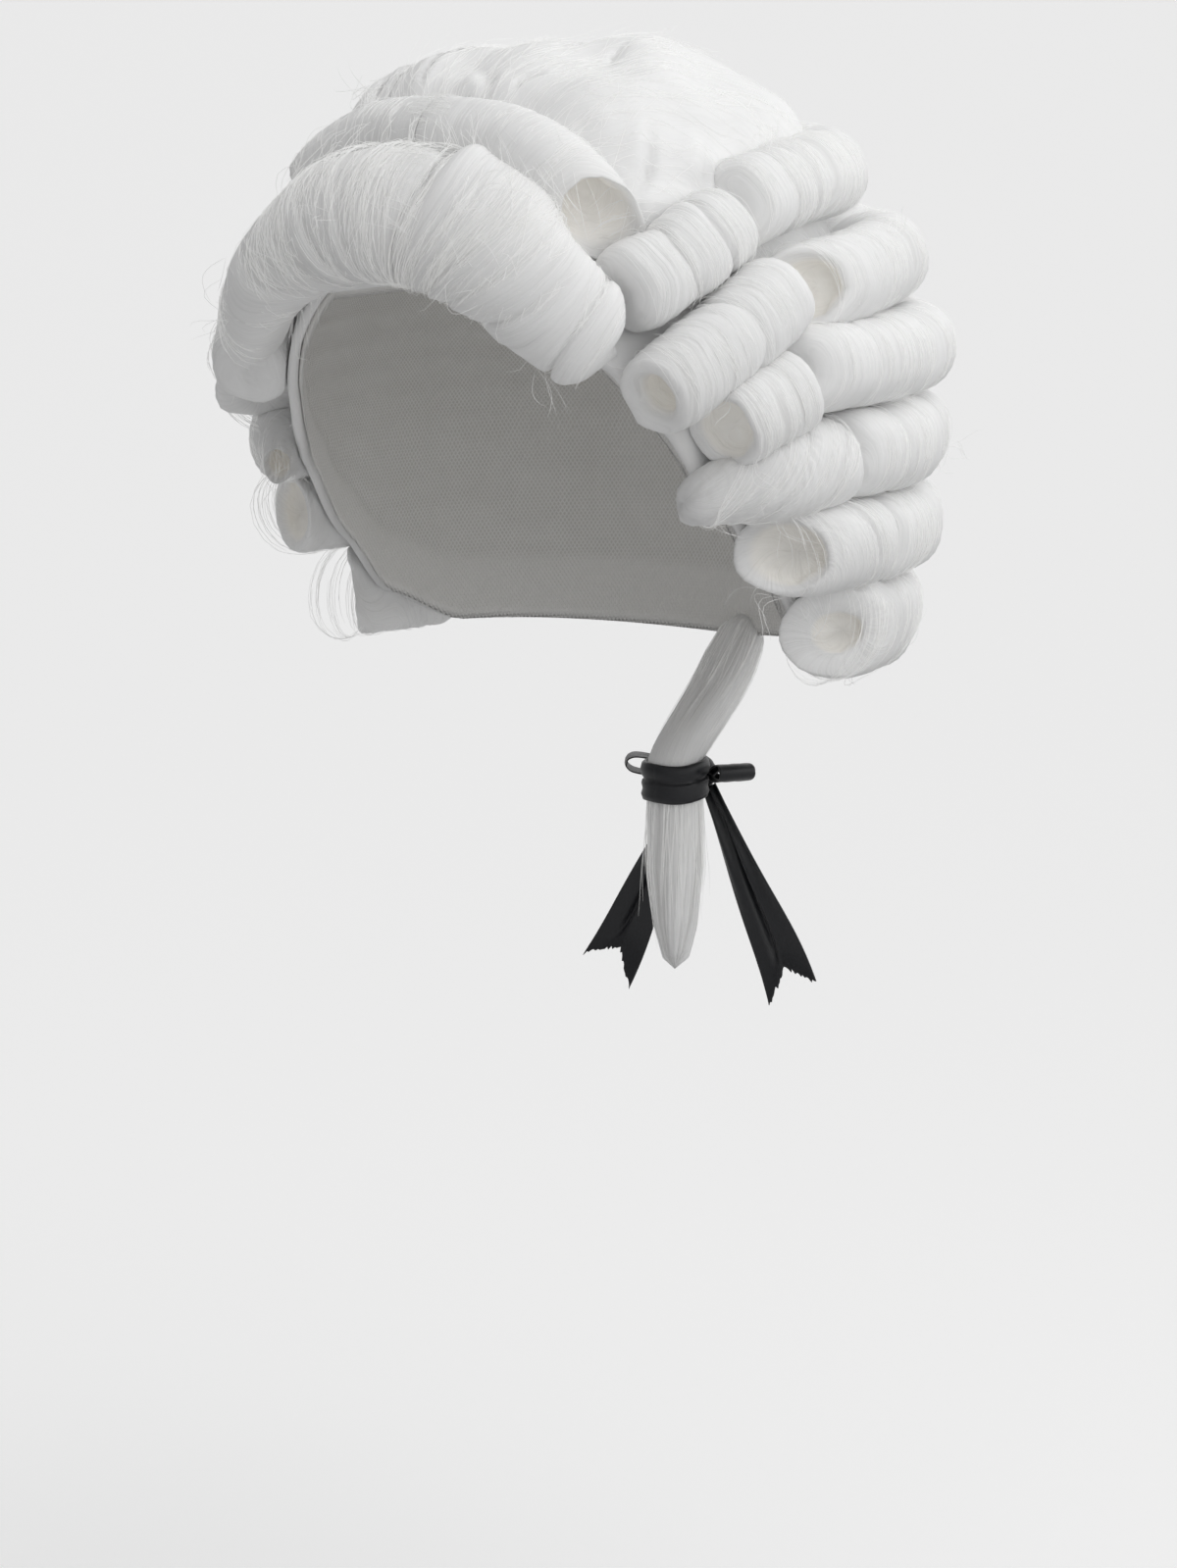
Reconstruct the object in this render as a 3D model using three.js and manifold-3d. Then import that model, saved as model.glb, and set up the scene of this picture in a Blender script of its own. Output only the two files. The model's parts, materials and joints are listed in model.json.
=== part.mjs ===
// A powdered wig as it is worn: a net cap with hair laid over it, a thick roll along the
// forehead, an open roll behind that, six rows of barrel curls down the sides and the back,
// and a short queue tied with a black satin ribbon.
// Millimetres, +Z up. The wearer faces -Y, and the wearer's left is +X. The origin is the top
// of the head, inside the cap. An azimuth is in degrees from the face towards the left side,
// and a lean is in degrees from the crown: 90 is the widest level of the head.

import * as THREE from "three";
import { mergeVertices } from "three/addons/utils/BufferGeometryUtils.js";
import Module from "manifold-3d";

// The head that the wig fits.
const HEAD_WIDTH = 152;
const HEAD_LENGTH = 192;
const CROWN_DEPTH = 100; // from the top of the head down to its widest level
const NAPE_DEPTH = 150; // how far under that level its sides would close
const CROWN_FULLNESS = 2.4; // 2 is an ellipse, more is squarer

// The cap, and the hair laid over it.
const GAP = 0.3; // between neighbouring pieces
const CAP_WALL = 1.5;
const HAIR_BASE = 3; // under the curls
const CROWN_RISE = 19; // more hair than that on the crown
const WAVE_HEIGHT = 1.4; // soft locks combed back over the crown
const WAVE_COUNT = 9;

// The barrel curls.
const CURL_BREADTH = 26; // up and down the head
const CURL_THICKNESS = 25; // outwards from the head
const CURL_WALL = 4.5; // the rolled hair round the hollow
const CURL_SEAT = 1; // how far a curl is pressed flat where it lies on the hair
const END_SLANT = 0.55; // how far an open end leans back, as a share of its thickness
const FIRST_ROW_DEPTH = 14; // from the top of the head down to the first row
const ROW_PITCH = CURL_BREADTH + GAP;

// The roll along the forehead, and the open roll behind it.
const FRONT_ROLL_BREADTH = 44;
const FRONT_ROLL_THICKNESS = 27;
const FRONT_ROLL_SLIM = 0.25; // share by which the upper side is narrower at the temple
const FRONT_ROLL_DEPTH = 21; // from the top of the head down to its middle at the face
const FRONT_ROLL_FALL = 35; // how much lower it is at the temple
const PARTING = 8; // azimuth where its two halves meet
const TEMPLE = 46; // azimuth where they end
const CROWN_ROLL_BREADTH = 25;
const CROWN_ROLL_THICKNESS = 23;
const CROWN_ROLL_DEPTH = 1.5;
const CROWN_ROLL_FALL = 20.5;

// The queue and its ribbon.
const QUEUE_WIDTH = 17;
const QUEUE_TOP = 158; // from the top of the head down to where the queue leaves the hair
const QUEUE_SETBACK = 52; // from the middle of the head back to the hanging queue
const QUEUE_LENGTH = 60; // hanging straight, under the knot
const KNOT_DEPTH = 203; // from the top of the head down to the knot
const KNOT_HEIGHT = 12;
const KNOT_WIDTH = 11;
const RIBBON_WIDTH = 20;
const RIBBON_THICKNESS = 1;
const RIBBON_TURNS = 2; // round the queue
const LOOP_LENGTH = 19;
const LOOP_HEIGHT = 6;
const LOOP_SPREAD = 0.6; // breadth of a loop at its bend, as a share of the ribbon's
const LOOP_RISE = 10; // degrees that a loop stands up to its side
const LOOP_SWING = 34; // degrees that a loop curves forward
const TAIL_LENGTH = 70;
const TAIL_SPREAD = 27; // degrees that a free end hangs out to its side
const TAIL_GATHER = 0.3; // breadth of a free end at the knot, as a share of the ribbon's
const TAIL_NOTCH = 0.45; // depth of the swallowtail, as a share of the ribbon's breadth
const TAIL_RIPPLE = 2; // how far a free end waves out of its plane

// Lower edge of the cap, round each side. Drops are shares of CROWN_DEPTH.
const HAIRLINE = [
  { azimuth: 0, drop: 0.44 },
  { azimuth: 28, drop: 0.48 },
  { azimuth: 46, drop: 0.66 },
  { azimuth: 56, drop: 0.82 },
  { azimuth: 67, drop: 1.04 },
  { azimuth: 80, drop: 1.26 },
  { azimuth: 92, drop: 1.45 },
  { azimuth: 110, drop: 1.56 },
  { azimuth: 180, drop: 1.62 },
];

// Where the built-up hair of the crown ends and the curls begin, as a lean.
const CROWN_EDGE = [
  { azimuth: 0, lean: 26 },
  { azimuth: 20, lean: 29 },
  { azimuth: 40, lean: 38 },
  { azimuth: 55, lean: 49 },
  { azimuth: 70, lean: 45 },
  { azimuth: 85, lean: 40 },
  { azimuth: 105, lean: 38 },
  { azimuth: 180, lean: 38 },
];

// Section of the laid hair from the crown (down 0) past the crown edge (0.5) to the hairline
// (1). Rise is a share of CROWN_RISE.
const HAIR_SECTION = [
  { down: 0, rise: 1 },
  { down: 0.15, rise: 1 },
  { down: 0.3, rise: 1 },
  { down: 0.42, rise: 0.94 },
  { down: 0.5, rise: 0.7 },
  { down: 0.57, rise: 0.15 },
  { down: 0.64, rise: 0 },
  { down: 0.82, rise: 0 },
  { down: 1, rise: 0 },
];

// Barrel curls of one side. From and to are azimuths, the near end first. A dip is how far
// that end hangs under its row, as a share of ROW_PITCH. Thick and broad are shares of
// CURL_THICKNESS and CURL_BREADTH, and tip is the size of the near end as a share. Open names
// the sides on which the curl is hollow. The others are combed shut.
const CURLS = [
  { name: "curl_a1", row: 0, from: 49, to: 72, dipFrom: 1.08, dipTo: 0.4, thick: 0.88 },
  { name: "curl_a2", row: 0, from: 75, to: 99, dipFrom: 0.22, dipTo: 0, thick: 0.9 },
  { name: "curl_a3", row: 0, from: 102, to: 138, dipFrom: 0, dipTo: 0, thick: 0.9 },
  { name: "curl_a4", row: 0, from: 141, to: 179.7, dipFrom: 0, dipTo: 0, thick: 0.9 },
  { name: "curl_b1", row: 1, from: 53, to: 79, dipFrom: 1.18, dipTo: 0.15, thick: 1, open: "left" },
  { name: "curl_b2", row: 1, from: 83, to: 114, dipFrom: 0.16, dipTo: 0, thick: 1, open: "both" },
  { name: "curl_b3", row: 1, from: 117, to: 146, dipFrom: 0, dipTo: 0, thick: 1.04 },
  { name: "curl_b4", row: 1, from: 149, to: 179.7, dipFrom: 0, dipTo: 0, thick: 1.04 },
  { name: "curl_c1", row: 2, from: 65, to: 78, dipFrom: 0.58, dipTo: 0.2, thick: 1.04, open: "left" },
  { name: "curl_c2", row: 2, from: 81, to: 111, dipFrom: 0, dipTo: 0, thick: 1.08 },
  { name: "curl_c3", row: 2, from: 114, to: 145, dipFrom: 0, dipTo: 0, thick: 1.12 },
  { name: "curl_c4", row: 2, from: 148, to: 179.7, dipFrom: 0, dipTo: 0, thick: 1.08 },
  { name: "curl_d1", row: 3, from: 62, to: 88, dipFrom: 0.32, dipTo: 0, thick: 0.98, tip: 0.6,
    open: "right" },
  { name: "curl_d2", row: 3, from: 91, to: 119, dipFrom: 0, dipTo: 0, thick: 0.98 },
  { name: "curl_d3", row: 3, from: 122, to: 148, dipFrom: 0, dipTo: 0, thick: 0.98 },
  { name: "curl_d4", row: 3, from: 151, to: 179.7, dipFrom: 0, dipTo: 0, thick: 0.96 },
  { name: "curl_e1", row: 4, from: 75, to: 98, dipFrom: 0, dipTo: 0, thick: 0.98, open: "both" },
  { name: "curl_e2", row: 4, from: 101, to: 125, dipFrom: 0, dipTo: 0, thick: 0.94 },
  { name: "curl_e3", row: 4, from: 128, to: 151, dipFrom: 0, dipTo: 0, thick: 0.92 },
  { name: "curl_e4", row: 4, from: 154, to: 179.7, dipFrom: 0, dipTo: 0, thick: 0.9 },
  { name: "curl_f1", row: 5, from: 87, to: 112, dipFrom: 0, dipTo: 0, thick: 0.9, broad: 1.1,
    open: "both" },
  { name: "curl_f2", row: 5, from: 115, to: 145, dipFrom: 0, dipTo: 0, thick: 0.82 },
  { name: "curl_f3", row: 5, from: 148, to: 179.7, dipFrom: 0, dipTo: 0, thick: 0.8 },
];

// Outside of a barrel curl along its length, from the open end. Size is a share of its
// thickness and breadth.
const BARREL_OUTSIDE = [
  { along: 0, size: 0.86 },
  { along: 0.16, size: 1 },
  { along: 0.84, size: 1 },
  { along: 1, size: 0.86 },
];
const FRONT_ROLL_OUTSIDE = [
  { along: 0, size: 0.84 },
  { along: 0.08, size: 0.98 },
  { along: 0.3, size: 1 },
  { along: 0.55, size: 0.96 },
  { along: 0.78, size: 0.86 },
  { along: 0.93, size: 0.74 },
  { along: 1, size: 0.6 },
];
const QUEUE_OUTSIDE = [
  { along: 0, size: 0.8 },
  { along: 0.12, size: 1 },
  { along: 0.24, size: 1 },
  { along: 0.4, size: 1 },
  { along: 0.7, size: 0.95 },
  { along: 0.9, size: 0.7 },
  { along: 1, size: 0.35 },
];

// Half section of a loop of the bow, from the knot to its bend. Heights are shares of
// LOOP_HEIGHT.
const LOOP_SECTION = [
  { along: 0, height: 0.5 },
  { along: 0.35, height: 0.85 },
  { along: 0.7, height: 1 },
  { along: 0.92, height: 0.8 },
  { along: 1, height: 0.4 },
];

const HEAD_STEPS = 30; // facets round the head
const CURL_STEPS = 10; // facets round a curl

const wasm = await Module();
wasm.setup();

const radians = THREE.MathUtils.degToRad;
const degrees = THREE.MathUtils.radToDeg;
const between = THREE.MathUtils.lerp;

const group = new THREE.Group();
const finish = {
  hair: new THREE.MeshStandardMaterial({ color: 0xf2f2f4, roughness: 0.55, metalness: 0 }),
  net: new THREE.MeshStandardMaterial({ color: 0xe9e3d8, roughness: 0.85, metalness: 0 }),
  satin: new THREE.MeshStandardMaterial({ color: 0x111318, roughness: 0.35, metalness: 0 }),
};

// Turns a closed geometry into a solid that can be joined and cut.
function solidOf(geometry) {
  geometry.deleteAttribute("normal");
  geometry.deleteAttribute("uv");
  const merged = mergeVertices(geometry, 1e-4);
  const corners = merged.index.array;
  const triangles = [];
  for (let i = 0; i < corners.length; i += 3) {
    const [a, b, c] = corners.slice(i, i + 3);
    if (a !== b && b !== c && c !== a) triangles.push(a, b, c);
  }
  return new wasm.Manifold(new wasm.Mesh({
    numProp: 3,
    vertProperties: new Float32Array(merged.attributes.position.array),
    triVerts: new Uint32Array(triangles),
  }));
}

// Adds a solid to the model as a named piece. A crumb that a cut leaves loose is dropped.
function addPiece(name, solid, material) {
  const body = solid.decompose().sort((a, b) => b.volume() - a.volume())[0];
  const mesh = body.getMesh();
  const geometry = new THREE.BufferGeometry();
  geometry.setAttribute("position", new THREE.BufferAttribute(mesh.vertProperties, 3));
  geometry.setIndex(new THREE.BufferAttribute(mesh.triVerts, 1));
  geometry.computeVertexNormals();
  const piece = new THREE.Mesh(geometry, material);
  piece.name = name;
  group.add(piece);
}

// Moves every vertex of a geometry to where a function of its place puts it.
function reshape(geometry, place) {
  const positions = geometry.attributes.position;
  const vertex = new THREE.Vector3();
  for (let i = 0; i < positions.count; i++) {
    place(vertex.fromBufferAttribute(positions, i));
    positions.setXYZ(i, vertex.x, vertex.y, vertex.z);
  }
  return geometry;
}

// Reads a table with an azimuth column, eased between its rows and alike on both sides.
function roundHead(table, column, azimuth) {
  const angle = Math.abs(THREE.MathUtils.euclideanModulo(azimuth + 180, 360) - 180);
  const next = Math.max(1, table.findIndex((row) => row.azimuth >= angle));
  const [a, b] = [table[next - 1], table[next]];
  const t = THREE.MathUtils.smoothstep(angle, a.azimuth, b.azimuth);
  const even = (angle - a.azimuth) / (b.azimuth - a.azimuth);
  return between(a[column], b[column], (t + even) / 2);
}

// A point on the head's surface, moved out by a distance.
function headPoint(azimuth, lean, out) {
  const power = 2 / CROWN_FULLNESS;
  const past = radians(Math.max(0, lean - 90));
  const upper = radians(Math.min(90, lean));
  const share = lean <= 90 ? Math.sin(upper) ** power : Math.cos(past);
  const height = lean <= 90
    ? (CROWN_DEPTH + out) * Math.max(0, Math.cos(upper)) ** power
    : -(NAPE_DEPTH + out) * Math.sin(past);
  return new THREE.Vector3(
    (HEAD_WIDTH / 2 + out) * share * Math.sin(radians(azimuth)),
    -(HEAD_LENGTH / 2 + out) * share * Math.cos(radians(azimuth)),
    height - CROWN_DEPTH,
  );
}

// The lean at which the moved surface lies a depth under the top of the head.
function leanAt(depth, out) {
  const height = CROWN_DEPTH - depth;
  if (height < 0) return 90 + degrees(Math.asin(-height / (NAPE_DEPTH + out)));
  return degrees(Math.acos((height / (CROWN_DEPTH + out)) ** (CROWN_FULLNESS / 2)));
}

// The lean at a share of the way from the crown, past the crown edge, to the hairline.
function leanDown(azimuth, down, past) {
  const edge = roundHead(CROWN_EDGE, "lean", azimuth);
  const hairline = leanAt(roundHead(HAIRLINE, "drop", azimuth) * CROWN_DEPTH + past, 0);
  return down <= 0.5 ? between(0, edge, down * 2) : between(edge, hairline, down * 2 - 1);
}

// How far the outside of the laid hair stands off the head.
const HAIR_INSIDE = CAP_WALL + GAP;
const HAIR_OUTSIDE = HAIR_INSIDE + HAIR_BASE;
function hairOutside(azimuth, down) {
  const next = Math.max(1, HAIR_SECTION.findIndex((row) => row.down >= down - 1e-6));
  const [a, b] = [HAIR_SECTION[next - 1], HAIR_SECTION[next]];
  const rise = between(a.rise, b.rise, (down - a.down) / (b.down - a.down));
  const wave = Math.cos(radians(azimuth * WAVE_COUNT)) * Math.sin(Math.PI * Math.min(1, down * 2));
  return HAIR_OUTSIDE + rise * CROWN_RISE + rise * WAVE_HEIGHT * wave;
}

// A dome over the head, down to the hairline and a little past it, between two distances off
// the head that are functions of the azimuth and the share of the way down.
function dome(inside, outside, steps, past = 0) {
  const rim = steps.length - 1;
  const profile = [
    ...steps.map((down) => new THREE.Vector2(down, 0)),
    ...steps.map((_, i) => new THREE.Vector2(steps[rim - i], 1)),
  ];
  return solidOf(reshape(new THREE.LatheGeometry(profile, HEAD_STEPS), (vertex) => {
    const azimuth = degrees(Math.atan2(vertex.x, vertex.z));
    const down = Math.hypot(vertex.x, vertex.z);
    const out = (vertex.y > 0.5 ? outside : inside)(azimuth, down);
    vertex.copy(headPoint(azimuth, leanDown(azimuth, down, past), out));
  }));
}

// A rolled lock of hair that lies along the head, from its open end at 0 to 1. Depth is a
// function that gives how far its middle lies under the top of the head. With a hollow of 0 it
// is closed, and swell makes it larger all round. Slim is how much narrower its far part is on
// the side that the sign names.
function roll(shape) {
  const { from, to, depth, breadth, thickness, outside, hollow = 0, tip = 1, slant = 0 } = shape;
  const { swell = 0, slim = 0, sign = 1 } = shape;
  const size = (along) => between(tip, 1, THREE.MathUtils.smoothstep(along, 0, 0.6));
  const out = (along) => HAIR_OUTSIDE + GAP - CURL_SEAT + (thickness / 2) * size(along);
  const azimuth = (along) => between(from, to, along);
  const lean = (along) => leanAt(depth(along), out(along));
  const middle = (along) => headPoint(azimuth(along), lean(along), out(along));
  const outward = (along) => {
    const [a, l, o] = [azimuth(along), lean(along), out(along)];
    const down = headPoint(a, l + 1, o).sub(headPoint(a, l - 1, o));
    return down.cross(headPoint(a + 1, l, o).sub(headPoint(a - 1, l, o))).normalize();
  };
  const length = middle(0).distanceTo(middle(1));
  const skin = outside.map((row) => new THREE.Vector2(row.size, row.along));
  const profile = hollow > 0
    ? [...skin, new THREE.Vector2(hollow, 1), new THREE.Vector2(hollow, 0), skin[0]]
    : [new THREE.Vector2(0, 0), ...skin, new THREE.Vector2(0, 1)];
  return solidOf(reshape(new THREE.LatheGeometry(profile, CURL_STEPS), (vertex) => {
    const back = (slant * vertex.x * thickness * (1 - vertex.y)) / 2;
    const along = vertex.y + (back + swell * (2 * vertex.y - 1)) / length;
    const axis = middle(along + 0.01).sub(middle(along - 0.01)).normalize();
    const normal = outward(along);
    const side = normal.clone().cross(axis).normalize();
    const narrowed = vertex.z * sign > 0 ? slim * THREE.MathUtils.smoothstep(vertex.y, 0.4, 0.8) : 0;
    const [across, up] = [vertex.x, vertex.z * (1 - narrowed)];
    vertex.copy(middle(along))
      .addScaledVector(normal, across * ((size(along) * thickness) / 2 + swell))
      .addScaledVector(side, up * ((size(along) * breadth) / 2 + swell));
  }));
}

// The cap, and the hair laid over it.
const sections = HAIR_SECTION.map((row) => row.down);
const inward = (by) => () => -by;
const cap = dome(inward(0), () => CAP_WALL, sections);
const capRoom = dome(inward(2 * HAIR_BASE), () => HAIR_INSIDE, sections, GAP);
const laidHair = dome(inward(HAIR_BASE), hairOutside, sections).subtract(capRoom);
const laidHairRoom = dome(
  inward(2 * HAIR_BASE),
  (azimuth, down) => hairOutside(azimuth, down) + GAP,
  sections,
  GAP,
);
addPiece("cap", cap, finish.net);
addPiece("crown_hair", laidHair, finish.hair);

// Every roll is pressed flat on the laid hair and makes room for the rolls before it.
const taken = [laidHairRoom];
function addRoll(name, shape) {
  const solid = taken.reduce((rest, other) => rest.subtract(other), roll(shape));
  taken.push(roll({ ...shape, hollow: 0, swell: GAP }));
  addPiece(name, solid, finish.hair);
}
const sides = [{ side: "left", sign: 1 }, { side: "right", sign: -1 }];

for (const { side, sign } of sides) {
  const from = PARTING + degrees((sign * GAP) / HEAD_LENGTH);
  const to = sign * TEMPLE;
  const fall = (azimuth) => FRONT_ROLL_FALL * Math.abs(azimuth / TEMPLE) ** 2.3;
  addRoll(`front_roll_${side}`, {
    from,
    to,
    depth: (along) => FRONT_ROLL_DEPTH + fall(between(from, to, along)),
    breadth: FRONT_ROLL_BREADTH,
    thickness: FRONT_ROLL_THICKNESS,
    outside: FRONT_ROLL_OUTSIDE,
    slim: FRONT_ROLL_SLIM,
    sign,
  });
}

for (const { side, sign } of sides) {
  addRoll(`crown_roll_${side}`, {
    from: sign * (TEMPLE - 1),
    to: sign,
    depth: (along) => CROWN_ROLL_DEPTH + CROWN_ROLL_FALL * Math.abs(1 - along) ** 3.5,
    breadth: CROWN_ROLL_BREADTH,
    thickness: CROWN_ROLL_THICKNESS,
    outside: BARREL_OUTSIDE,
    hollow: 1 - (2 * CURL_WALL) / CROWN_ROLL_BREADTH,
    slant: END_SLANT,
  });
}

for (const { name, row, from, to, dipFrom, dipTo, thick, broad = 1, tip, open } of CURLS) {
  const rowDepth = FIRST_ROW_DEPTH + row * ROW_PITCH;
  for (const { side, sign } of sides) {
    const isOpen = open === "both" || open === side;
    addRoll(`${name}_${side}`, {
      from: sign * from,
      to: sign * to,
      depth: (along) => rowDepth + ROW_PITCH * between(dipFrom, dipTo, along),
      breadth: CURL_BREADTH * broad,
      thickness: CURL_THICKNESS * thick,
      outside: BARREL_OUTSIDE,
      hollow: isOpen ? 1 - (2 * CURL_WALL) / CURL_BREADTH : 0,
      slant: END_SLANT,
      tip,
    });
  }
}

// The queue leaves the hair under the lowest curls, passes in under the back of the head and
// hangs straight down through the ribbon.
const nape = headPoint(180, leanAt(QUEUE_TOP, HAIR_OUTSIDE), HAIR_OUTSIDE);
const queuePath = new THREE.CatmullRomCurve3([
  new THREE.Vector3(0, nape.y, nape.z),
  new THREE.Vector3(0, between(nape.y, QUEUE_SETBACK, 0.4), between(nape.z, -KNOT_DEPTH, 0.4)),
  new THREE.Vector3(0, QUEUE_SETBACK, -KNOT_DEPTH + KNOT_HEIGHT / 2),
  new THREE.Vector3(0, QUEUE_SETBACK, -KNOT_DEPTH - KNOT_HEIGHT / 2),
  new THREE.Vector3(0, QUEUE_SETBACK, -KNOT_DEPTH - QUEUE_LENGTH),
]);
function lock(path, outside, width, swell = 0) {
  const skin = outside.map((row) => new THREE.Vector2(row.size, row.along));
  const profile = [new THREE.Vector2(0, 0), ...skin, new THREE.Vector2(0, 1)];
  return solidOf(reshape(new THREE.LatheGeometry(profile, CURL_STEPS), (vertex) => {
    const along = path.getTangentAt(vertex.y);
    const side = new THREE.Vector3(1, 0, 0);
    const back = side.clone().cross(along);
    const [across, up] = [vertex.x, vertex.z].map((share) => share * (width / 2 + swell));
    vertex.copy(path.getPointAt(vertex.y)).addScaledVector(side, up).addScaledVector(back, -across);
  }));
}
const queue = taken.reduce(
  (rest, other) => rest.subtract(other),
  lock(queuePath, QUEUE_OUTSIDE, QUEUE_WIDTH),
);
addPiece("queue", queue, finish.hair);

// The ribbon: turns round the queue with a knot on the outside of them, two loops and two ends.
const wrapInside = QUEUE_WIDTH / 2 + GAP;
const wrapOutside = wrapInside + RIBBON_TURNS * RIBBON_THICKNESS;
const knotPlace = new THREE.Vector3(0, QUEUE_SETBACK, -KNOT_DEPTH);
const knotBack = QUEUE_SETBACK + wrapOutside + KNOT_HEIGHT / 4;
const wrapProfile = [[wrapInside, -1], [wrapOutside, -1], [wrapOutside, 1], [wrapInside, 1]]
  .map(([radius, end]) => new THREE.Vector2(radius, (end * KNOT_HEIGHT) / 2));
const wrap = new THREE.LatheGeometry([...wrapProfile, wrapProfile[0]], 12)
  .rotateX(Math.PI / 2)
  .translate(...knotPlace);
const knotForm = (swell) => solidOf(new THREE.SphereGeometry(1, 10, 6)
  .scale(KNOT_WIDTH / 2 + swell, KNOT_HEIGHT / 3 + swell, KNOT_HEIGHT / 2 + swell)
  .translate(0, knotBack, -KNOT_DEPTH));
const queueRoom = lock(queuePath, QUEUE_OUTSIDE, QUEUE_WIDTH, GAP);
const wrapRoom = solidOf(new THREE.CylinderGeometry(wrapOutside + GAP, wrapOutside + GAP,
  KNOT_HEIGHT + 2 * GAP, 12).rotateX(Math.PI / 2).translate(...knotPlace));
addPiece("ribbon_knot", solidOf(wrap).add(knotForm(0)).subtract(queueRoom), finish.satin);
const ribbonRoom = [queueRoom, wrapRoom, knotForm(GAP)];

// Moves a geometry to a place with its x along one direction and its y along another.
function lay(geometry, origin, along, up) {
  const basis = new THREE.Matrix4().makeBasis(along, up, along.clone().cross(up));
  return geometry.applyMatrix4(basis.setPosition(origin));
}
const makeRoom = (solid) => ribbonRoom.reduce((rest, other) => rest.subtract(other), solid);

// A loop of ribbon, gathered at the knot and open along its breadth.
function bowLoop(sign) {
  const outline = (inset) => {
    const side = LOOP_SECTION.map(({ along, height }) => new THREE.Vector2(
      between(inset, LOOP_LENGTH - inset, along),
      Math.max(0.2, (height * LOOP_HEIGHT) / 2 - inset),
    ));
    return [...side, ...side.map((point) => new THREE.Vector2(point.x, -point.y)).reverse()];
  };
  const shape = new THREE.Shape(outline(0).reverse());
  shape.holes.push(new THREE.Path(outline(RIBBON_THICKNESS)));
  const loop = new THREE.ExtrudeGeometry(shape, { depth: 1, bevelEnabled: false });
  reshape(loop, (vertex) => {
    const breadth = between(TAIL_GATHER, LOOP_SPREAD, vertex.x / LOOP_LENGTH) * RIBBON_WIDTH;
    vertex.z = (vertex.z - 0.5) * breadth;
  });
  const [rise, swing] = [radians(LOOP_RISE), radians(LOOP_SWING)];
  const out = new THREE.Vector3(sign * Math.cos(swing), -Math.sin(swing), Math.tan(rise)).normalize();
  const across = new THREE.Vector3(sign * Math.sin(swing), Math.cos(swing), 0);
  const up = sign > 0 ? out.clone().cross(across) : across.clone().cross(out);
  const root = new THREE.Vector3((sign * KNOT_WIDTH) / 2, knotBack, -KNOT_DEPTH);
  return makeRoom(solidOf(lay(loop, root, out, up)));
}

// A free end of the ribbon, gathered at the knot, with a swallowtail cut.
function ribbonTail(sign) {
  const tail = new THREE.BoxGeometry(1, 1, 1, 8, 4, 1);
  reshape(tail, (vertex) => {
    const along = vertex.x + 0.5;
    const breadth = between(TAIL_GATHER, 1, along) * RIBBON_WIDTH;
    const notch = TAIL_NOTCH * RIBBON_WIDTH * (1 - 2 * Math.abs(vertex.y)) * along ** 4;
    const ripple = TAIL_RIPPLE * Math.sin(2 * Math.PI * along) * along;
    vertex.set(along * TAIL_LENGTH - notch, vertex.y * breadth, vertex.z * RIBBON_THICKNESS + ripple);
  });
  const spread = radians(TAIL_SPREAD);
  const down = new THREE.Vector3(sign * Math.sin(spread), 0, -Math.cos(spread));
  const across = new THREE.Vector3(Math.cos(spread), 0, sign * Math.sin(spread));
  const top = new THREE.Vector3(
    sign * ((TAIL_GATHER * RIBBON_WIDTH) / 2 + GAP),
    knotBack,
    -KNOT_DEPTH - KNOT_HEIGHT / 3,
  );
  return makeRoom(solidOf(lay(tail, top, down, across)));
}

for (const { side, sign } of sides) {
  addPiece(`bow_loop_${side}`, bowLoop(sign), finish.satin);
  addPiece(`ribbon_tail_${side}`, ribbonTail(sign), finish.satin);
}

export default group;
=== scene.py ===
"""Powdered wig: a net cap, laid crown hair, rolled curls and a tied queue, in metres, +Z up.

The wearer faces -Y and the wearer's left is +X. The origin is the top of the head, inside the
cap. An azimuth is in degrees from the face towards the left side, and a lean is in degrees
from the crown. Across and along are measured over the strands of hair.
"""

import json
import math

import bmesh
import bpy
import numpy as np
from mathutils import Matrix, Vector

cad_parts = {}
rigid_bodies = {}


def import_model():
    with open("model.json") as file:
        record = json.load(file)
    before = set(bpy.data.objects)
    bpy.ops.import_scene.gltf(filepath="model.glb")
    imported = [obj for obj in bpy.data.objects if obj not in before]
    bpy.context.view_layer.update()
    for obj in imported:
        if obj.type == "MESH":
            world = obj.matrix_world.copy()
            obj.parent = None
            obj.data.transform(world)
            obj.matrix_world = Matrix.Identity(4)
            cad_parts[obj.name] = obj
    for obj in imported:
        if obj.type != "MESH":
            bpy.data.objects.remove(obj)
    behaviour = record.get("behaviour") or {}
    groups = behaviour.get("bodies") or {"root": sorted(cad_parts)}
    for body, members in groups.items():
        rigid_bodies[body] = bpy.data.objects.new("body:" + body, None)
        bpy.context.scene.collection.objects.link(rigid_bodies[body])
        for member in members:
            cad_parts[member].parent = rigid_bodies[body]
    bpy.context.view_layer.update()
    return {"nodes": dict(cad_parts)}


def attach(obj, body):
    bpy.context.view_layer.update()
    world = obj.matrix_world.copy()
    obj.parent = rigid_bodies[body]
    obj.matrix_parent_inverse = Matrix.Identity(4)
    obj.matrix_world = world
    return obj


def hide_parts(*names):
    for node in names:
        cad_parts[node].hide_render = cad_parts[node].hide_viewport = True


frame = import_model()

MM = 0.001
TURN = 2 * math.pi

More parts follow.
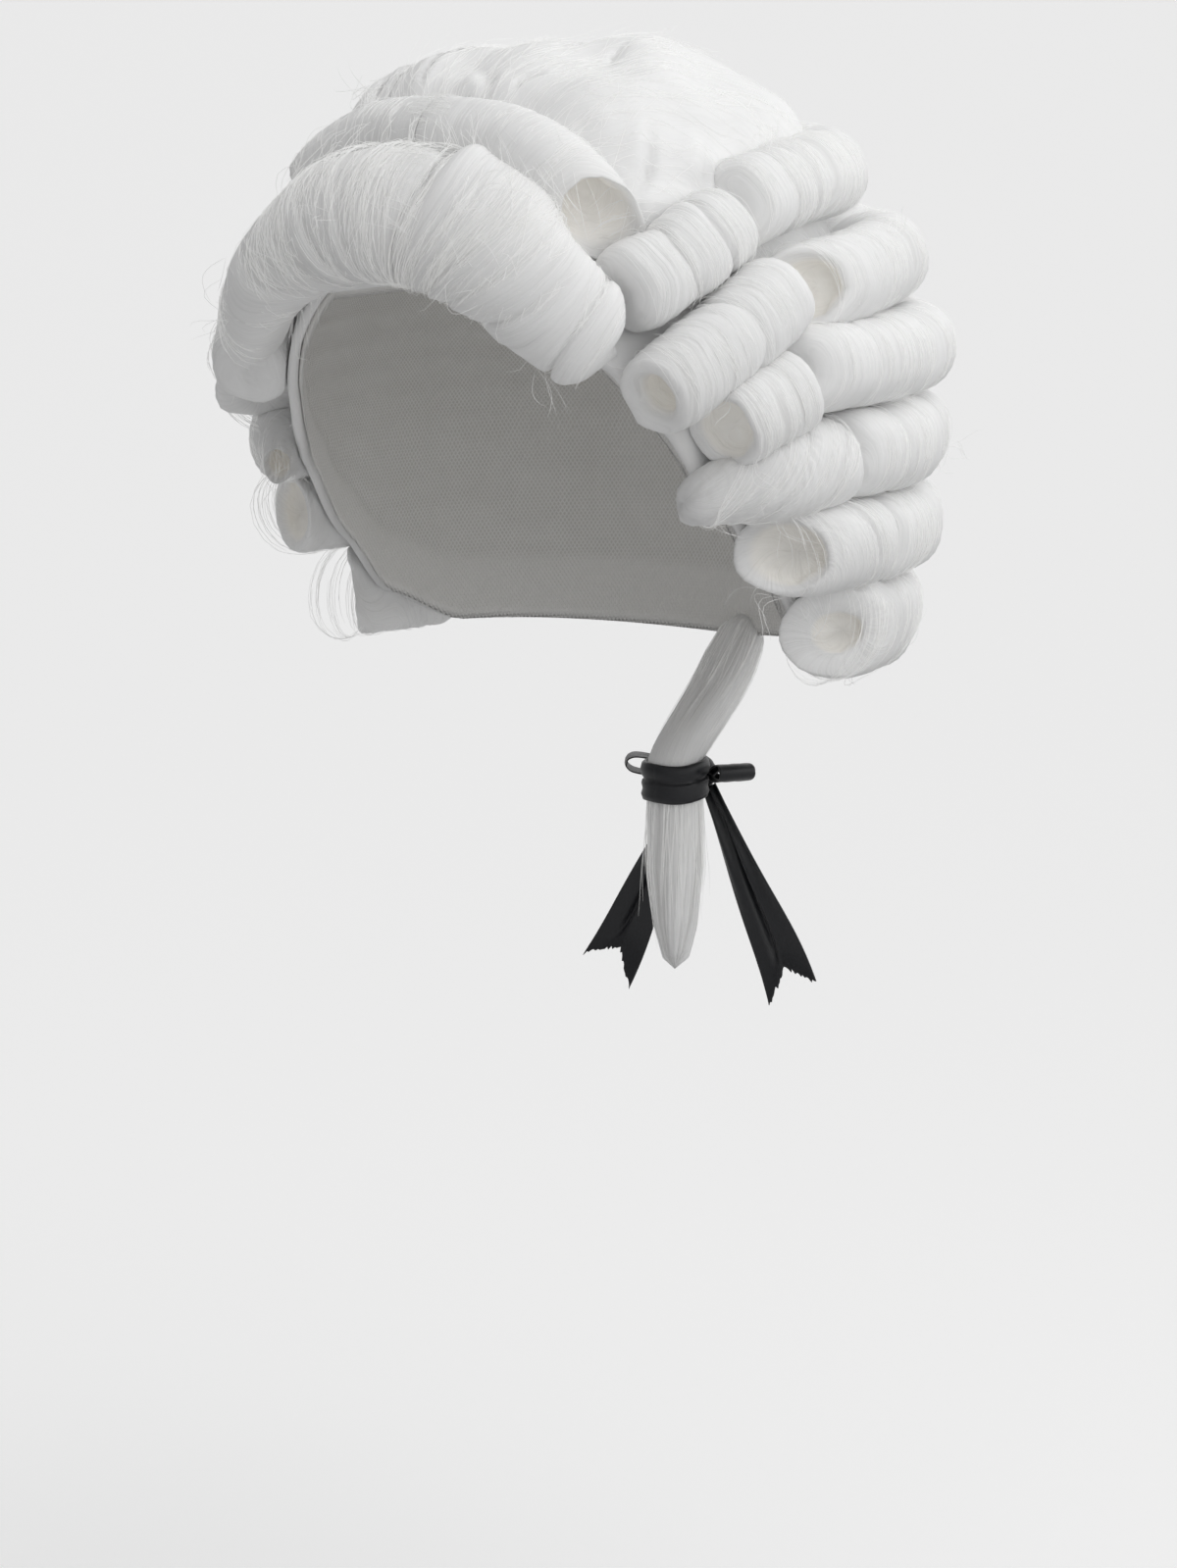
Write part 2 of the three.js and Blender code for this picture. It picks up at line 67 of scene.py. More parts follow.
# The head that the wig fits, and the layers on it.
HEAD_WIDTH, HEAD_LENGTH = 152 * MM, 192 * MM
CROWN_DEPTH, NAPE_DEPTH, CROWN_FULLNESS = 100 * MM, 150 * MM, 2.4
GAP = 0.3 * MM
CAP_WALL, HAIR_LAYER, CROWN_RISE = 1.5 * MM, 3 * MM, 19 * MM
HAIR_INSIDE = CAP_WALL + GAP
HAIR_OUTSIDE = HAIR_INSIDE + HAIR_LAYER
# The strands of the crown run back and apart from a point this far before its middle.
CROWN_SOURCE = 0.13

# The curls.
CURL_BREADTH, CURL_THICKNESS, CURL_SEAT = 26 * MM, 25 * MM, 1 * MM
FIRST_ROW_DEPTH, ROW_PITCH = 14 * MM, 26.3 * MM
FRONT_ROLL_BREADTH, FRONT_ROLL_THICKNESS = 44 * MM, 27 * MM
FRONT_ROLL_DEPTH, FRONT_ROLL_FALL, PARTING, TEMPLE = 21 * MM, 35 * MM, 8, 46
CROWN_ROLL_BREADTH, CROWN_ROLL_THICKNESS = 25 * MM, 23 * MM
CROWN_ROLL_DEPTH, CROWN_ROLL_FALL = 1.5 * MM, 20.5 * MM

# Azimuth, and the drop of the hairline there as a share of CROWN_DEPTH.
HAIRLINE = ((0, 0.44), (28, 0.48), (46, 0.66), (56, 0.82), (67, 1.04), (80, 1.26), (92, 1.45),
            (110, 1.56), (180, 1.62))
# Azimuth, and the lean where the built-up crown hair ends.
CROWN_EDGE = ((0, 26), (20, 29), (40, 38), (55, 49), (70, 45), (85, 40), (105, 38), (180, 38))
# Share of the way down to the hairline, and the rise of the hair as a share of CROWN_RISE.
HAIR_SECTION = ((0, 1), (0.15, 1), (0.3, 1), (0.42, 0.94), (0.5, 0.7), (0.57, 0.15), (0.64, 0),
                (1, 0))

# Name, row, azimuths of the near and the far end, their dips, thickness, and then what is
# special to it: broad, tip (size of the near end), hollow (0 for a closed end), slant and
# cut_up (how far the end is cut back, and whether outwards or upwards), fan (strands that run
# out into the tip), twist (how far the strands are wound askew), point (how far a closed end
# is drawn out) and rings (grooves between the hanks, as shares of the length).
CURLS = (
    ("curl_a1", 0, 49, 72, 1.08, 0.4, 0.88, {"rings": (0.36, 0.7)}),
    ("curl_a2", 0, 75, 99, 0.22, 0, 0.9, {"rings": (0.42, 0.74)}),
    ("curl_a3", 0, 102, 138, 0, 0, 0.9, {"rings": (0.35, 0.7)}),
    ("curl_a4", 0, 141, 179.7, 0, 0, 0.9, {"rings": (0.5,)}),
    ("curl_b1", 1, 53, 79, 1.18, 0.15, 1, {"hollow": 0.52, "slant": 0.4, "rings": (0.55,)}),
    ("curl_b2", 1, 83, 114, 0.16, 0, 1, {"hollow": 0.7, "slant": 0.8, "rings": (0.5,)}),
    ("curl_b3", 1, 117, 146, 0, 0, 1.04, {"rings": (0.5,)}),
    ("curl_b4", 1, 149, 179.7, 0, 0, 1.04, {"rings": (0.4,)}),
    ("curl_c1", 2, 65, 78, 0.58, 0.2, 1.04, {"hollow": 0.74}),
    ("curl_c2", 2, 81, 111, 0, 0, 1.08, {"rings": (0.3, 0.6)}),
    ("curl_c3", 2, 114, 145, 0, 0, 1.12, {"rings": (0.5,)}),
    ("curl_c4", 2, 148, 179.7, 0, 0, 1.08, {"rings": (0.6,)}),
    ("curl_d1", 3, 62, 88, 0.32, 0, 0.98, {"tip": 0.68, "fan": 1.6, "slant": 0.4, "cut_up": 0.6,
                                           "twist": 0.75, "point": 0.09, "rings": (0.5, 0.86)}),
    ("curl_d2", 3, 91, 119, 0, 0, 0.98, {"rings": (0.4, 0.7)}),
    ("curl_d3", 3, 122, 148, 0, 0, 0.98, {"rings": (0.5,)}),
    ("curl_d4", 3, 151, 179.7, 0, 0, 0.96, {"rings": (0.5,)}),
    ("curl_e1", 4, 75, 98, 0, 0, 0.98, {"hollow": 0.76, "fan": -1.2, "slant": 0.9,
                                        "twist": -0.35, "rings": (0.62,)}),
    ("curl_e2", 4, 101, 125, 0, 0, 0.94, {"rings": (0.55,)}),
    ("curl_e3", 4, 128, 151, 0, 0, 0.92, {"rings": (0.5,)}),
    ("curl_e4", 4, 154, 179.7, 0, 0, 0.9, {"rings": (0.4,)}),
    ("curl_f1", 5, 87, 112, 0, 0, 0.9, {"broad": 1.1, "hollow": 0.46, "fan": 1.0, "slant": 1.5,
                                        "twist": 0.4}),
    ("curl_f2", 5, 115, 145, 0, 0, 0.82, {"rings": (0.5,)}),
    ("curl_f3", 5, 148, 179.7, 0, 0, 0.8, {"rings": (0.5,)}),
)
# What differs in the curls at the right temple.
RIGHT_TEMPLE = {
    "curl_b1": {"hollow": 0, "slant": 0.2, "rings": (0.4, 0.7)},
    "curl_c1": {"hollow": 0, "slant": -0.9, "cut_up": 0.5, "fan": 1.2},
    "curl_d1": {"tip": 0.42, "fan": 1.6, "hollow": 0.78, "slant": 0.2},
}
# Stray hairs: the roll they leave, how far along and round it, how far they reach in x, y
# and z and how much they bow in millimetres, and how many there are.
STRAYS = (
    ("front_roll_left", 0.9, 0.8, (5, 3, -15), 4, 4),
    ("front_roll_left", 0.5, 0.3, (-6, 6, 9), 5, 5),
    ("front_roll_left", 0.25, 0.45, (16, 4, -10), 7, 12),
    ("front_roll_left", 0.6, 0.6, (-14, -6, 3), 6, 9),
    ("front_roll_right", 0.3, 0.5, (-14, 4, -4), 6, 12),
    ("front_roll_right", 0.85, 0.5, (-3, -3, -16), 5, 8),
    ("front_roll_right", 0.4, 0.6, (-5, 5, 7), 4, 9),
    ("crown_roll_left", 0.15, 0.4, (-5, 6, 12), 5, 3),
    ("crown_roll_right", 0.5, 0.6, (-8, 3, 9), 5, 12),
    ("curl_a2_left", 0.5, 0.3, (6, 6, 7), 4, 8),
    ("curl_b2_left", 0.8, 0.4, (7, 6, 3), 4, 8),
    ("curl_c1_left", 0.03, 0.7, (6, 4, -14), 4, 5),
    ("curl_c1_left", 0.03, 0.3, (-3, -4, -9), 4, 4),
    ("curl_d1_left", 0.05, 0.8, (8, 4, -4), 3, 4),
    ("curl_d2_left", 0.9, 0.5, (6, 7, -3), 3, 8),
    ("curl_e1_left", 0.03, 0.8, (-6, -4, -9), 4, 5),
    ("curl_e1_left", 0.04, 0.2, (5, 3, -13), 4, 5),
    ("curl_f1_left", 0.05, 0.2, (-8, -5, -17), 6, 5),
    ("curl_f1_left", 0.6, 0.8, (4, 3, -6), 4, 8),
    ("curl_c1_right", 0.05, 0.3, (-4, -2, -12), 5, 8),
    ("curl_d1_right", 0.02, 0.3, (-1, 0, -20), 4, 12),
)
# Slits between the teased locks of the crown: where each starts and ends in x and y, and its
# depth and half width, in millimetres.
CROWN_SLITS = (
    (54.6, -22.5, 55.7, -31.0, 5.0, 1.5),
    (46.0, -36.5, 49.5, -47.5, 4.0, 1.3),
    (59.5, -8.5, 65.0, -7.0, 4.0, 1.4),
    (36.5, -53.0, 40.0, -60.0, 2.5, 1.5),
    (42.0, 2.0, 52.0, 8.0, 1.8, 1.8),
    (-2.0, -38.0, 6.0, -50.0, 1.8, 2.0),
    (-44.0, -34.0, -50.0, -44.0, 3.0, 1.5),
)
# The points of a single hair, as shares of its length, and its radius.
HAIR_SHARES = np.linspace(0, 1, 9)[None, :]
HAIR_RADIUS = 0.065 * MM
# Width and height of hanks, locks and strands: in the curls, and in the front roll.
HANKS = ((6.5 * MM, 0.24 * MM), (2.1 * MM, 0.2 * MM), (1.0 * MM, 0.2 * MM))
FINE_HANKS = ((3.4 * MM, 0.05 * MM), (1.6 * MM, 0.08 * MM), (0.9 * MM, 0.13 * MM))

SIDES = (("left", 1), ("right", -1))

# The queue and its ribbon.
KNOT_DEPTH, QUEUE_SETBACK, QUEUE_WIDTH = 203 * MM, 52 * MM, 17 * MM
QUEUE_TOP, QUEUE_LENGTH = 158 * MM, 60 * MM
KNOT_HEIGHT, KNOT_WIDTH, RIBBON_WIDTH, RIBBON_THICKNESS = 12 * MM, 11 * MM, 20 * MM, 0.35 * MM
LOOP_LENGTH, LOOP_SPREAD, LOOP_RISE, LOOP_SWING = 19 * MM, 0.6, 10, 34
TAIL_LENGTH, TAIL_SPREAD, TAIL_GATHER, TAIL_NOTCH, TAIL_RIPPLE = 70 * MM, 27, 0.3, 0.45, 2 * MM

# The studio: the wig's middle, the camera round it, in degrees and metres, and the floor.
MIDDLE = Vector((0, 0, -0.1))
CAMERA_AZIMUTH, CAMERA_HEIGHT, CAMERA_DISTANCE = math.radians(35), math.radians(6), 1.8
CAMERA_TILT, CAMERA_TURN, LENS, SENSOR = math.radians(80.918), math.radians(34.906), 137.8, 36
FLOOR_DEPTH, FLOOR_REACH = 0.46, 30


# ---- camera ---------------------------------------------------------------------------------

def set_camera():
    lens = bpy.data.cameras.new("studio_camera")
    lens.sensor_fit = "VERTICAL"
    lens.sensor_height, lens.lens, lens.clip_end = SENSOR, LENS, 60
    camera = bpy.data.objects.new("studio_camera", lens)
    bpy.context.scene.collection.objects.link(camera)
    camera.location = MIDDLE + CAMERA_DISTANCE * Vector((
        math.sin(CAMERA_AZIMUTH) * math.cos(CAMERA_HEIGHT),
        -math.cos(CAMERA_AZIMUTH) * math.cos(CAMERA_HEIGHT),
        math.sin(CAMERA_HEIGHT),
    ))
    camera.rotation_euler = (CAMERA_TILT, 0, CAMERA_TURN)
    bpy.context.scene.camera = camera


set_camera()


# ---- smooth random waves --------------------------------------------------------------------

def ripple(x, seed, turn=512):
    """A smooth random wave of x from -1 to 1, which repeats after turn."""
    heights = np.random.default_rng(seed).uniform(-1, 1, turn)
    cell = np.floor(x)
    t = x - cell
    t = t * t * (3 - 2 * t)
    i = cell.astype(int) % turn
    return heights[i] * (1 - t) + heights[(i + 1) % turn] * t


def patches(x, y, seed, turn=64):
    """A smooth random field of x and y from -1 to 1, which repeats in y after turn."""
    heights = np.random.default_rng(seed).uniform(-1, 1, (64, turn))
    column, row = np.floor(x), np.floor(y)
    s, t = x - column, y - row
    s, t = s * s * (3 - 2 * s), t * t * (3 - 2 * t)
    i, j = column.astype(int) % 64, row.astype(int) % turn
    k, m = (i + 1) % 64, (j + 1) % turn
    low = heights[i, j] * (1 - s) + heights[k, j] * s
    high = heights[i, m] * (1 - s) + heights[k, m] * s
    return low * (1 - t) + high * t


def locks(across, along, seed, depth=1.0, hanks=HANKS):
    """How far the hanks and strands stand out. Across is in metres, along is 0 to 1."""
    lift = 0
    for width, height in hanks:
        drift = 0.8 * patches(across / (3 * width), along * 4, seed, 4)
        fade = 0.65 + 0.35 * patches(across / (2 * width), along * 6, seed + 1, 6)
        lift = lift + height * fade * (1.7 * np.abs(ripple(across / width + drift, seed + 2)) - 0.6)
        seed += 10
    return depth * lift


def eased(x, low, high):
    """0 below low and 1 above high, eased between them."""
    t = np.clip((x - low) / (high - low), 0, 1)
    return t * t * (3 - 2 * t)


def bump_at(x, middle, width):
    return np.exp(-(((x - middle) / width) ** 2))


def grooves(lift, depth):
    """The mask of the grooves between strands, full at a depth in millimetres. The hair's colour is
    darkened there as painted shade.
    """
    return np.clip(-lift / (depth * MM), 0, 1)


def unit(vectors):
    return vectors / np.linalg.norm(vectors, axis=-1, keepdims=True)


# ---- the form of the head -------------------------------------------------------------------

def head_point(azimuth, lean, out):
    """A point on the head's surface, moved out by a distance."""
    power = 2 / CROWN_FULLNESS
    turn = np.radians(azimuth)
    upper, past = np.radians(np.minimum(lean, 90)), np.radians(np.maximum(lean - 90, 0))
    share = np.where(lean <= 90, np.abs(np.sin(upper)) ** power, np.cos(past))
    rise = (CROWN_DEPTH + out) * np.maximum(np.cos(upper), 0) ** power
    height = np.where(lean <= 90, rise, -(NAPE_DEPTH + out) * np.sin(past))
    return np.stack([
        (HEAD_WIDTH / 2 + out) * share * np.sin(turn),
        -(HEAD_LENGTH / 2 + out) * share * np.cos(turn),
        height - CROWN_DEPTH,
    ], -1)


def lean_at(depth, out):
    """The lean at which the moved surface lies a depth under the top of the head."""
    height = CROWN_DEPTH - depth
    low = 90 + np.degrees(np.arcsin(np.clip(-height / (NAPE_DEPTH + out), 0, 1)))
    share = np.clip(height / (CROWN_DEPTH + out), 0, 1)
    return np.where(height < 0, low, np.degrees(np.arccos(share ** (CROWN_FULLNESS / 2))))


def round_head(table, azimuth):
    """Reads a table of azimuths, eased between its rows and alike on both sides."""
    angle = np.abs((np.asarray(azimuth) + 180) % 360 - 180)
    knots, values = np.array(table, float).T
    i = np.clip(np.searchsorted(knots, angle) - 1, 0, len(knots) - 2)
    t = (angle - knots[i]) / (knots[i + 1] - knots[i])
    t = (t * t * (3 - 2 * t) + t) / 2
    return values[i] * (1 - t) + values[i + 1] * t


def lean_down(azimuth, down):
    """The lean at a share of the way from the crown (0), past its edge (0.5), to the hairline."""
    edge = round_head(CROWN_EDGE, azimuth)
    hairline = lean_at(round_head(HAIRLINE, azimuth) * CROWN_DEPTH, 0)
    return np.where(down <= 0.5, edge * down * 2, edge + (hairline - edge) * (down * 2 - 1))


# ---- laying a flat grid over a form ---------------------------------------------------------

def lay(name, columns, rows, form, slot="hair", closed=True):
    """A piece made of a flat grid that form lays in place. Form takes the grid's two shares
    and gives the places, the strand coordinates in millimetres, and one or two masks: how deep
    in a hollow, where the hair is painted a warm shade (or on the cap's tape), and how deep
    down between the strands, where the hair is painted darker as shade."""
    flat = bmesh.new()
    bmesh.ops.create_grid(flat, x_segments=columns, y_segments=rows, size=0.5)
    mesh = bpy.data.meshes.new(name)
    flat.to_mesh(mesh)
    flat.free()
    spots = np.empty(len(mesh.vertices) * 3)
    mesh.vertices.foreach_get("co", spots)
    spots = spots.reshape(-1, 3)
    places, strands, *masks = form(spots[:, 0] + 0.5, spots[:, 1] + 0.5)
    mesh.vertices.foreach_set("co", places.ravel())
    corners = np.empty(len(mesh.loops), int)
    mesh.loops.foreach_get("vertex_index", corners)
    mesh.uv_layers.new(name="strands").data.foreach_set("uv", strands[corners].ravel())
    for layer, values in zip(("hollow", "groove"), masks):
        mesh.attributes.new(layer, "FLOAT", "POINT").data.foreach_set("value", values)
    close_up(mesh, closed)
    return piece(name, mesh, slot)


def close_up(mesh, closed):
    """Merges the seams and poles of a mesh, and turns a closed one's faces outwards."""
    body = bmesh.new()
    body.from_mesh(mesh)
    bmesh.ops.remove_doubles(body, verts=body.verts, dist=2e-6)
    bmesh.ops.dissolve_degenerate(body, edges=body.edges, dist=1e-7)
    if closed:
        bmesh.ops.recalc_face_normals(body, faces=body.faces)
    for face in body.faces:
        face.smooth = True
    body.to_mesh(mesh)
    body.free()


WORKED = {"hair": "combed", "net": "sewn", "satin": "tied"}


def piece(name, mesh, slot):
    """Adds a piece, which replaces the node of its name unless it is loose hairs."""
    loose = name.startswith("loose")
    made = bpy.data.objects.new(name if loose else f"{name}_{WORKED[slot]}", mesh)
    bpy.context.scene.collection.objects.link(made)
    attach(made, "root")
    if not loose:
        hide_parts(name)
    return made


def rounded(points, times=3):
    """A polyline with its corners cut round."""
    points = np.array(points, float)
    for _ in range(times):
        a, b = points[:-1], points[1:]
        cut = np.stack([a * 0.75 + b * 0.25, a * 0.25 + b * 0.75], 1).reshape(-1, 3)
        points = np.vstack([points[:1], cut, points[-1:]])
    return points


def on_profile(share, points, length, radius):
    """Along and radius at a share of a rounded profile. The third column of its points is how
    closely the grid lies there."""
    line = rounded(points)
    step = np.hypot(np.diff(line[:, 0]) * length, np.diff(line[:, 1]) * radius)
    walked = np.concatenate([[0], np.cumsum(step * (line[1:, 2] + line[:-1, 2]) / 2)])
    walked /= walked[-1]
    return [np.interp(share, walked, line[:, i]) for i in range(2)], walked, line


# ---- rolled locks ---------------------------------------------------------------------------

class Roll:
    """A rolled lock that lies along the head, from its open end (0) to its far end (1)."""

    def __init__(self, start, end, depth, breadth, thickness, tip=1.0):
        self.start, self.end, self.depth = start, end, depth
        self.breadth, self.thickness, self.tip = breadth, thickness, tip
        self.radius = thickness / 2
        ends = self.middle(np.array([0.0, 1.0]))
        self.length = float(np.linalg.norm(ends[1] - ends[0]))

    def size(self, along):
        return self.tip + (1 - self.tip) * eased(along, 0, 0.6)

    def out(self, along):
        return HAIR_OUTSIDE + GAP - CURL_SEAT + self.radius * self.size(along)

    def at(self, along):
        azimuth = self.start + (self.end - self.start) * along
        return azimuth, lean_at(self.depth(along), self.out(along)), self.out(along)

    def middle(self, along):
        return head_point(*self.at(along))

    def frames(self, along):
        azimuth, lean, out = self.at(along)
        down = head_point(azimuth, lean + 1, out) - head_point(azimuth, lean - 1, out)
        round_ = head_point(azimuth + 1, lean, out) - head_point(azimuth - 1, lean, out)
        normal = unit(np.cross(down, round_))
        axis = unit(self.middle(along + 0.01) - self.middle(along - 0.01))
        return normal, axis, unit(np.cross(normal, axis))

    def place(self, along, turn, outward, fullness=0.0):
        """A point at a distance outward from the middle, at a turn that starts at the head.
        Fullness squares the section, so that neighbouring rows close up."""
        normal, axis, side = self.frames(along)
        size = self.size(along)
        height = -np.cos(turn) * (size * self.radius) * outward
        height = np.maximum(height, -size * self.radius + CURL_SEAT + 0.2 * MM)
        power = 1 - fullness * np.where(np.cos(turn) > 0, 0.45, 0.2)
        width = np.sign(np.sin(turn)) * np.abs(np.sin(turn)) ** power
        width = width * (size * self.breadth / 2) * outward
        return self.middle(along) + normal * height[:, None] + side * width[:, None]


def rolled_curl(name, roll, seed, side=1, hollow=0, deep=False, slant=0.3, cut_up=0.0,
                fan=0.0, twist=0.0, point=0.0, rings=(), steps=(146, 24)):
    """A barrel of hair wound round a hollow, or closed where it meets the curl before it."""
    if hollow and deep:
        near_end = (
            (-0.012, (1 + hollow) / 2, 1), (0.0, hollow + 0.04, 1), (0.05, hollow, 0.7),
            (0.1, hollow * 0.93, 0.6), (0.14, hollow * 0.8, 0.5), (0.15, hollow * 0.5, 0.5),
            (0.14, 0, 0.4),
        )
    elif hollow:
        near_end = (
            (-0.02, 0.9, 1), (-0.025, (0.9 + hollow) / 2, 1), (0.0, hollow, 1),
            (0.05, hollow * 0.93, 0.9), (0.11, hollow * 0.85, 0.8), (0.15, hollow * 0.65, 0.7),
            (0.16, hollow * 0.35, 0.6), (0.14, 0, 0.4),
        )
    elif point:
        near_end = (
            (-0.03, 0.82, 1), (-0.03 - 0.5 * point, 0.62, 1), (-0.03 - 0.85 * point, 0.34, 0.8),
            (-0.03 - point, 0, 0.6),
        )
    else:
        near_end = ((-0.03, 0.8, 0.8), (-0.05, 0.5, 0.6), (-0.03, 0.2, 0.4), (-0.02, 0, 0.3))
    far = 0.12 if deep else 1
    profile = (
        (0.99, 0, 0.2), (1.0, 0.4, 0.3), (1 + 0.01 * far, 0.75, 0.6), (1.0, 1 - 0.12 * far, 1),
        (1 - 0.025 * far, 1 - 0.04 * far, 1), (1 - 0.07 * far, 0.998, 1), (0.84, 1, 1),
        (0.16, 1, 1), (0.08, 0.985, 1), (0.015, 0.94, 1),
        *near_end,
    )

    def form(a, b):
        (along, radius), walked, line = on_profile(a, profile, roll.length, roll.radius)
        turn = TURN * b
        seat = eased(np.minimum(b, 1 - b), 0.0, 0.07)
        spot = np.interp(a, walked, np.arange(len(line)))
        # Inside is how deep in the hollow: it shapes the wound end, and the hair's material paints
        # a warm shade and a glow there.
        first = 0.68 if deep else 0.7
        inside = eased(spot, first * len(line), (first + 0.07) * len(line)) if hollow else 0 * a
        # The strands lie round the barrel, and lean out into the tip where they fan.
        sweep = side * fan * (1 - eased(along, 0.05, 0.55)) * (b - 0.5) * roll.thickness * 2
        askew = side * twist * (b - 0.5) * roll.thickness * math.pi
        wander = 1.3 * MM * ripple(b * 5, seed + 5, 5) * seat
        across = along * roll.length + sweep + askew + wander
        lift = locks(across, b, seed, 0.45 if deep else 1) * seat
        groove = grooves(lift, 0.35)
        bend = 0.05 * ripple(b * 4, seed + 9, 4) * seat + askew / roll.length
        for ring in rings:
            for depth, width in ((1.3, 0.7), (0.7, 3)):
                cut_in = bump_at(along + bend, ring, width * MM / roll.length)
                lift = lift - depth * MM * cut_in * seat
        lift = lift + 0.7 * MM * patches(along * 3, b * 3, seed + 6, 3)
        wound = (b + 0.3) % 1
        spiral = 0.22 * inside * wound * eased(wound, 0, 0.08)
        outward = radius * (1 - spiral) + lift / roll.radius * (1 - 0.4 * inside)
        outward = np.where(radius < 0.02, 0, outward)
        # The near end is cut at a slant, and its strands end unevenly.
        cut = math.pi - side * cut_up * math.pi / 2
        ragged = 0.9 * MM * ripple(b * 11, seed + 7, 11) + 0.4 * MM * ripple(b * 37, seed + 8, 37)
        back = slant * np.cos(turn - cut) * radius * roll.radius + ragged * radius
        back = back + max(0, abs(slant) - 0.55) * roll.radius
        along = along + back * (1 - np.clip(along, 0, 1)) / roll.length
        strands = np.stack([across / MM, b * math.pi * roll.thickness / MM], -1)
        full = eased(along, 0.0, 0.35) if hollow else 1
        return roll.place(along, turn, outward, full), strands, inside, groove

    lay(name, *steps, form)


def front_roll(name, roll, seed, side):
    """The closed roll along the forehead. Its strands run down and in towards the parting."""
    profile = (
        (0.0, 0, 0.3), (0.0, 0.4, 0.6), (-0.005, 0.7, 1), (0.0, 0.88, 1), (0.02, 0.97, 1),
        (0.07, 1, 1), (0.3, 1, 1), (0.55, 0.97, 1), (0.76, 0.92, 1), (0.88, 0.86, 1),
        (0.95, 0.76, 1), (0.985, 0.6, 1), (1.0, 0.4, 0.8), (1.005, 0.2, 0.5), (1.0, 0, 0.3),
    )

    def form(a, b):
        (along, radius), _, _ = on_profile(a, profile, roll.length, roll.radius)
        # Down is 0 at the back of the roll and 1 where it tucks in at the hairline.
        down = (b - 0.5) * side + 0.5
        seat = eased(np.minimum(b, 1 - b), 0.0, 0.06)
        across = swept(along, down, roll.length) + 1.2 * MM * ripple(b * 5, seed + 5, 5) * seat
        lift = locks(across, b, seed, 1, FINE_HANKS) * seat
        groove = 0.5 * grooves(lift, 0.2)
        lift = lift + 0.8 * MM * patches(along * 5, b * 3, seed + 6, 3)
        # Furrows part its hanks, and follow the strands.
        for furrow, depth in ((0.3, 0.7), (0.47, 1.0), (0.62, 0.7), (0.76, 1.1)):
            aside = across / roll.length - furrow - 0.012 * ripple(b * 7, seed + 8, 7)
            shown = seat * eased(down, 0.3 + furrow * 0.2, 0.6)
            lift = lift - depth * MM * bump_at(aside, 0, 0.014) * shown
            lift = lift + 0.5 * depth * MM * bump_at(aside, 0.045, 0.035) * shown
        shear, lower = end_turned(along, down)
        shear, lift = shear * np.clip(radius, 0, 1), lift + lower
        if side > 0:
            # The dimple beside the parting, and the lock that ends the roll at the temple.
            lift = lift - 5 * MM * bump_at(along, 0.03, 0.06) * bump_at(down, 0.42, 0.1)
            lift = lift + 1.5 * MM * bump_at(along, 0.14, 0.06) * bump_at(down, 0.36, 0.16)
            crease = 0.87
            lift = lift - 1.5 * MM * bump_at(along, crease, 0.009) * seat
            lift = lift + 0.9 * MM * bump_at(along, crease + 0.05, 0.035) * seat
        outward = radius + np.where(radius < 0.02, 0, lift / roll.radius)
        strands = np.stack([across / MM, b * math.pi * roll.thickness / MM], -1)
        spot = roll.place(along + shear / roll.length, TURN * b, outward)
        return spot, strands, 0 * a, groove

    lay(name, 240, 90, form)


def end_turned(along, down):
    """The turn of the front roll's end, in metres: how far its strands are set on along the
    roll, and how far they lie off its even form. Its upper side is set back and lies lower."""
    shear = (down - 0.45) * 13 * MM * eased(along, 0.5, 0.95)
    return shear, -5.5 * MM * eased(along, 0.45, 0.8) * bump_at(down, 0.24, 0.17)


def swept(along, down, length):
    """The strand that passes a point of the front roll. They leave the parting along the top,
    swing out over the front and come back in at the hairline."""
    low, high = eased(down, 0.45, 0.98), 1 - eased(down, 0.02, 0.5)
    pull = 1.7 * along * (1 - along) ** 2 + 0.08 * (1 - eased(along, 0.7, 0.9))
    back = 0.9 * along * (1 - along) ** 2
    return length * (along + pull * low + back * high)


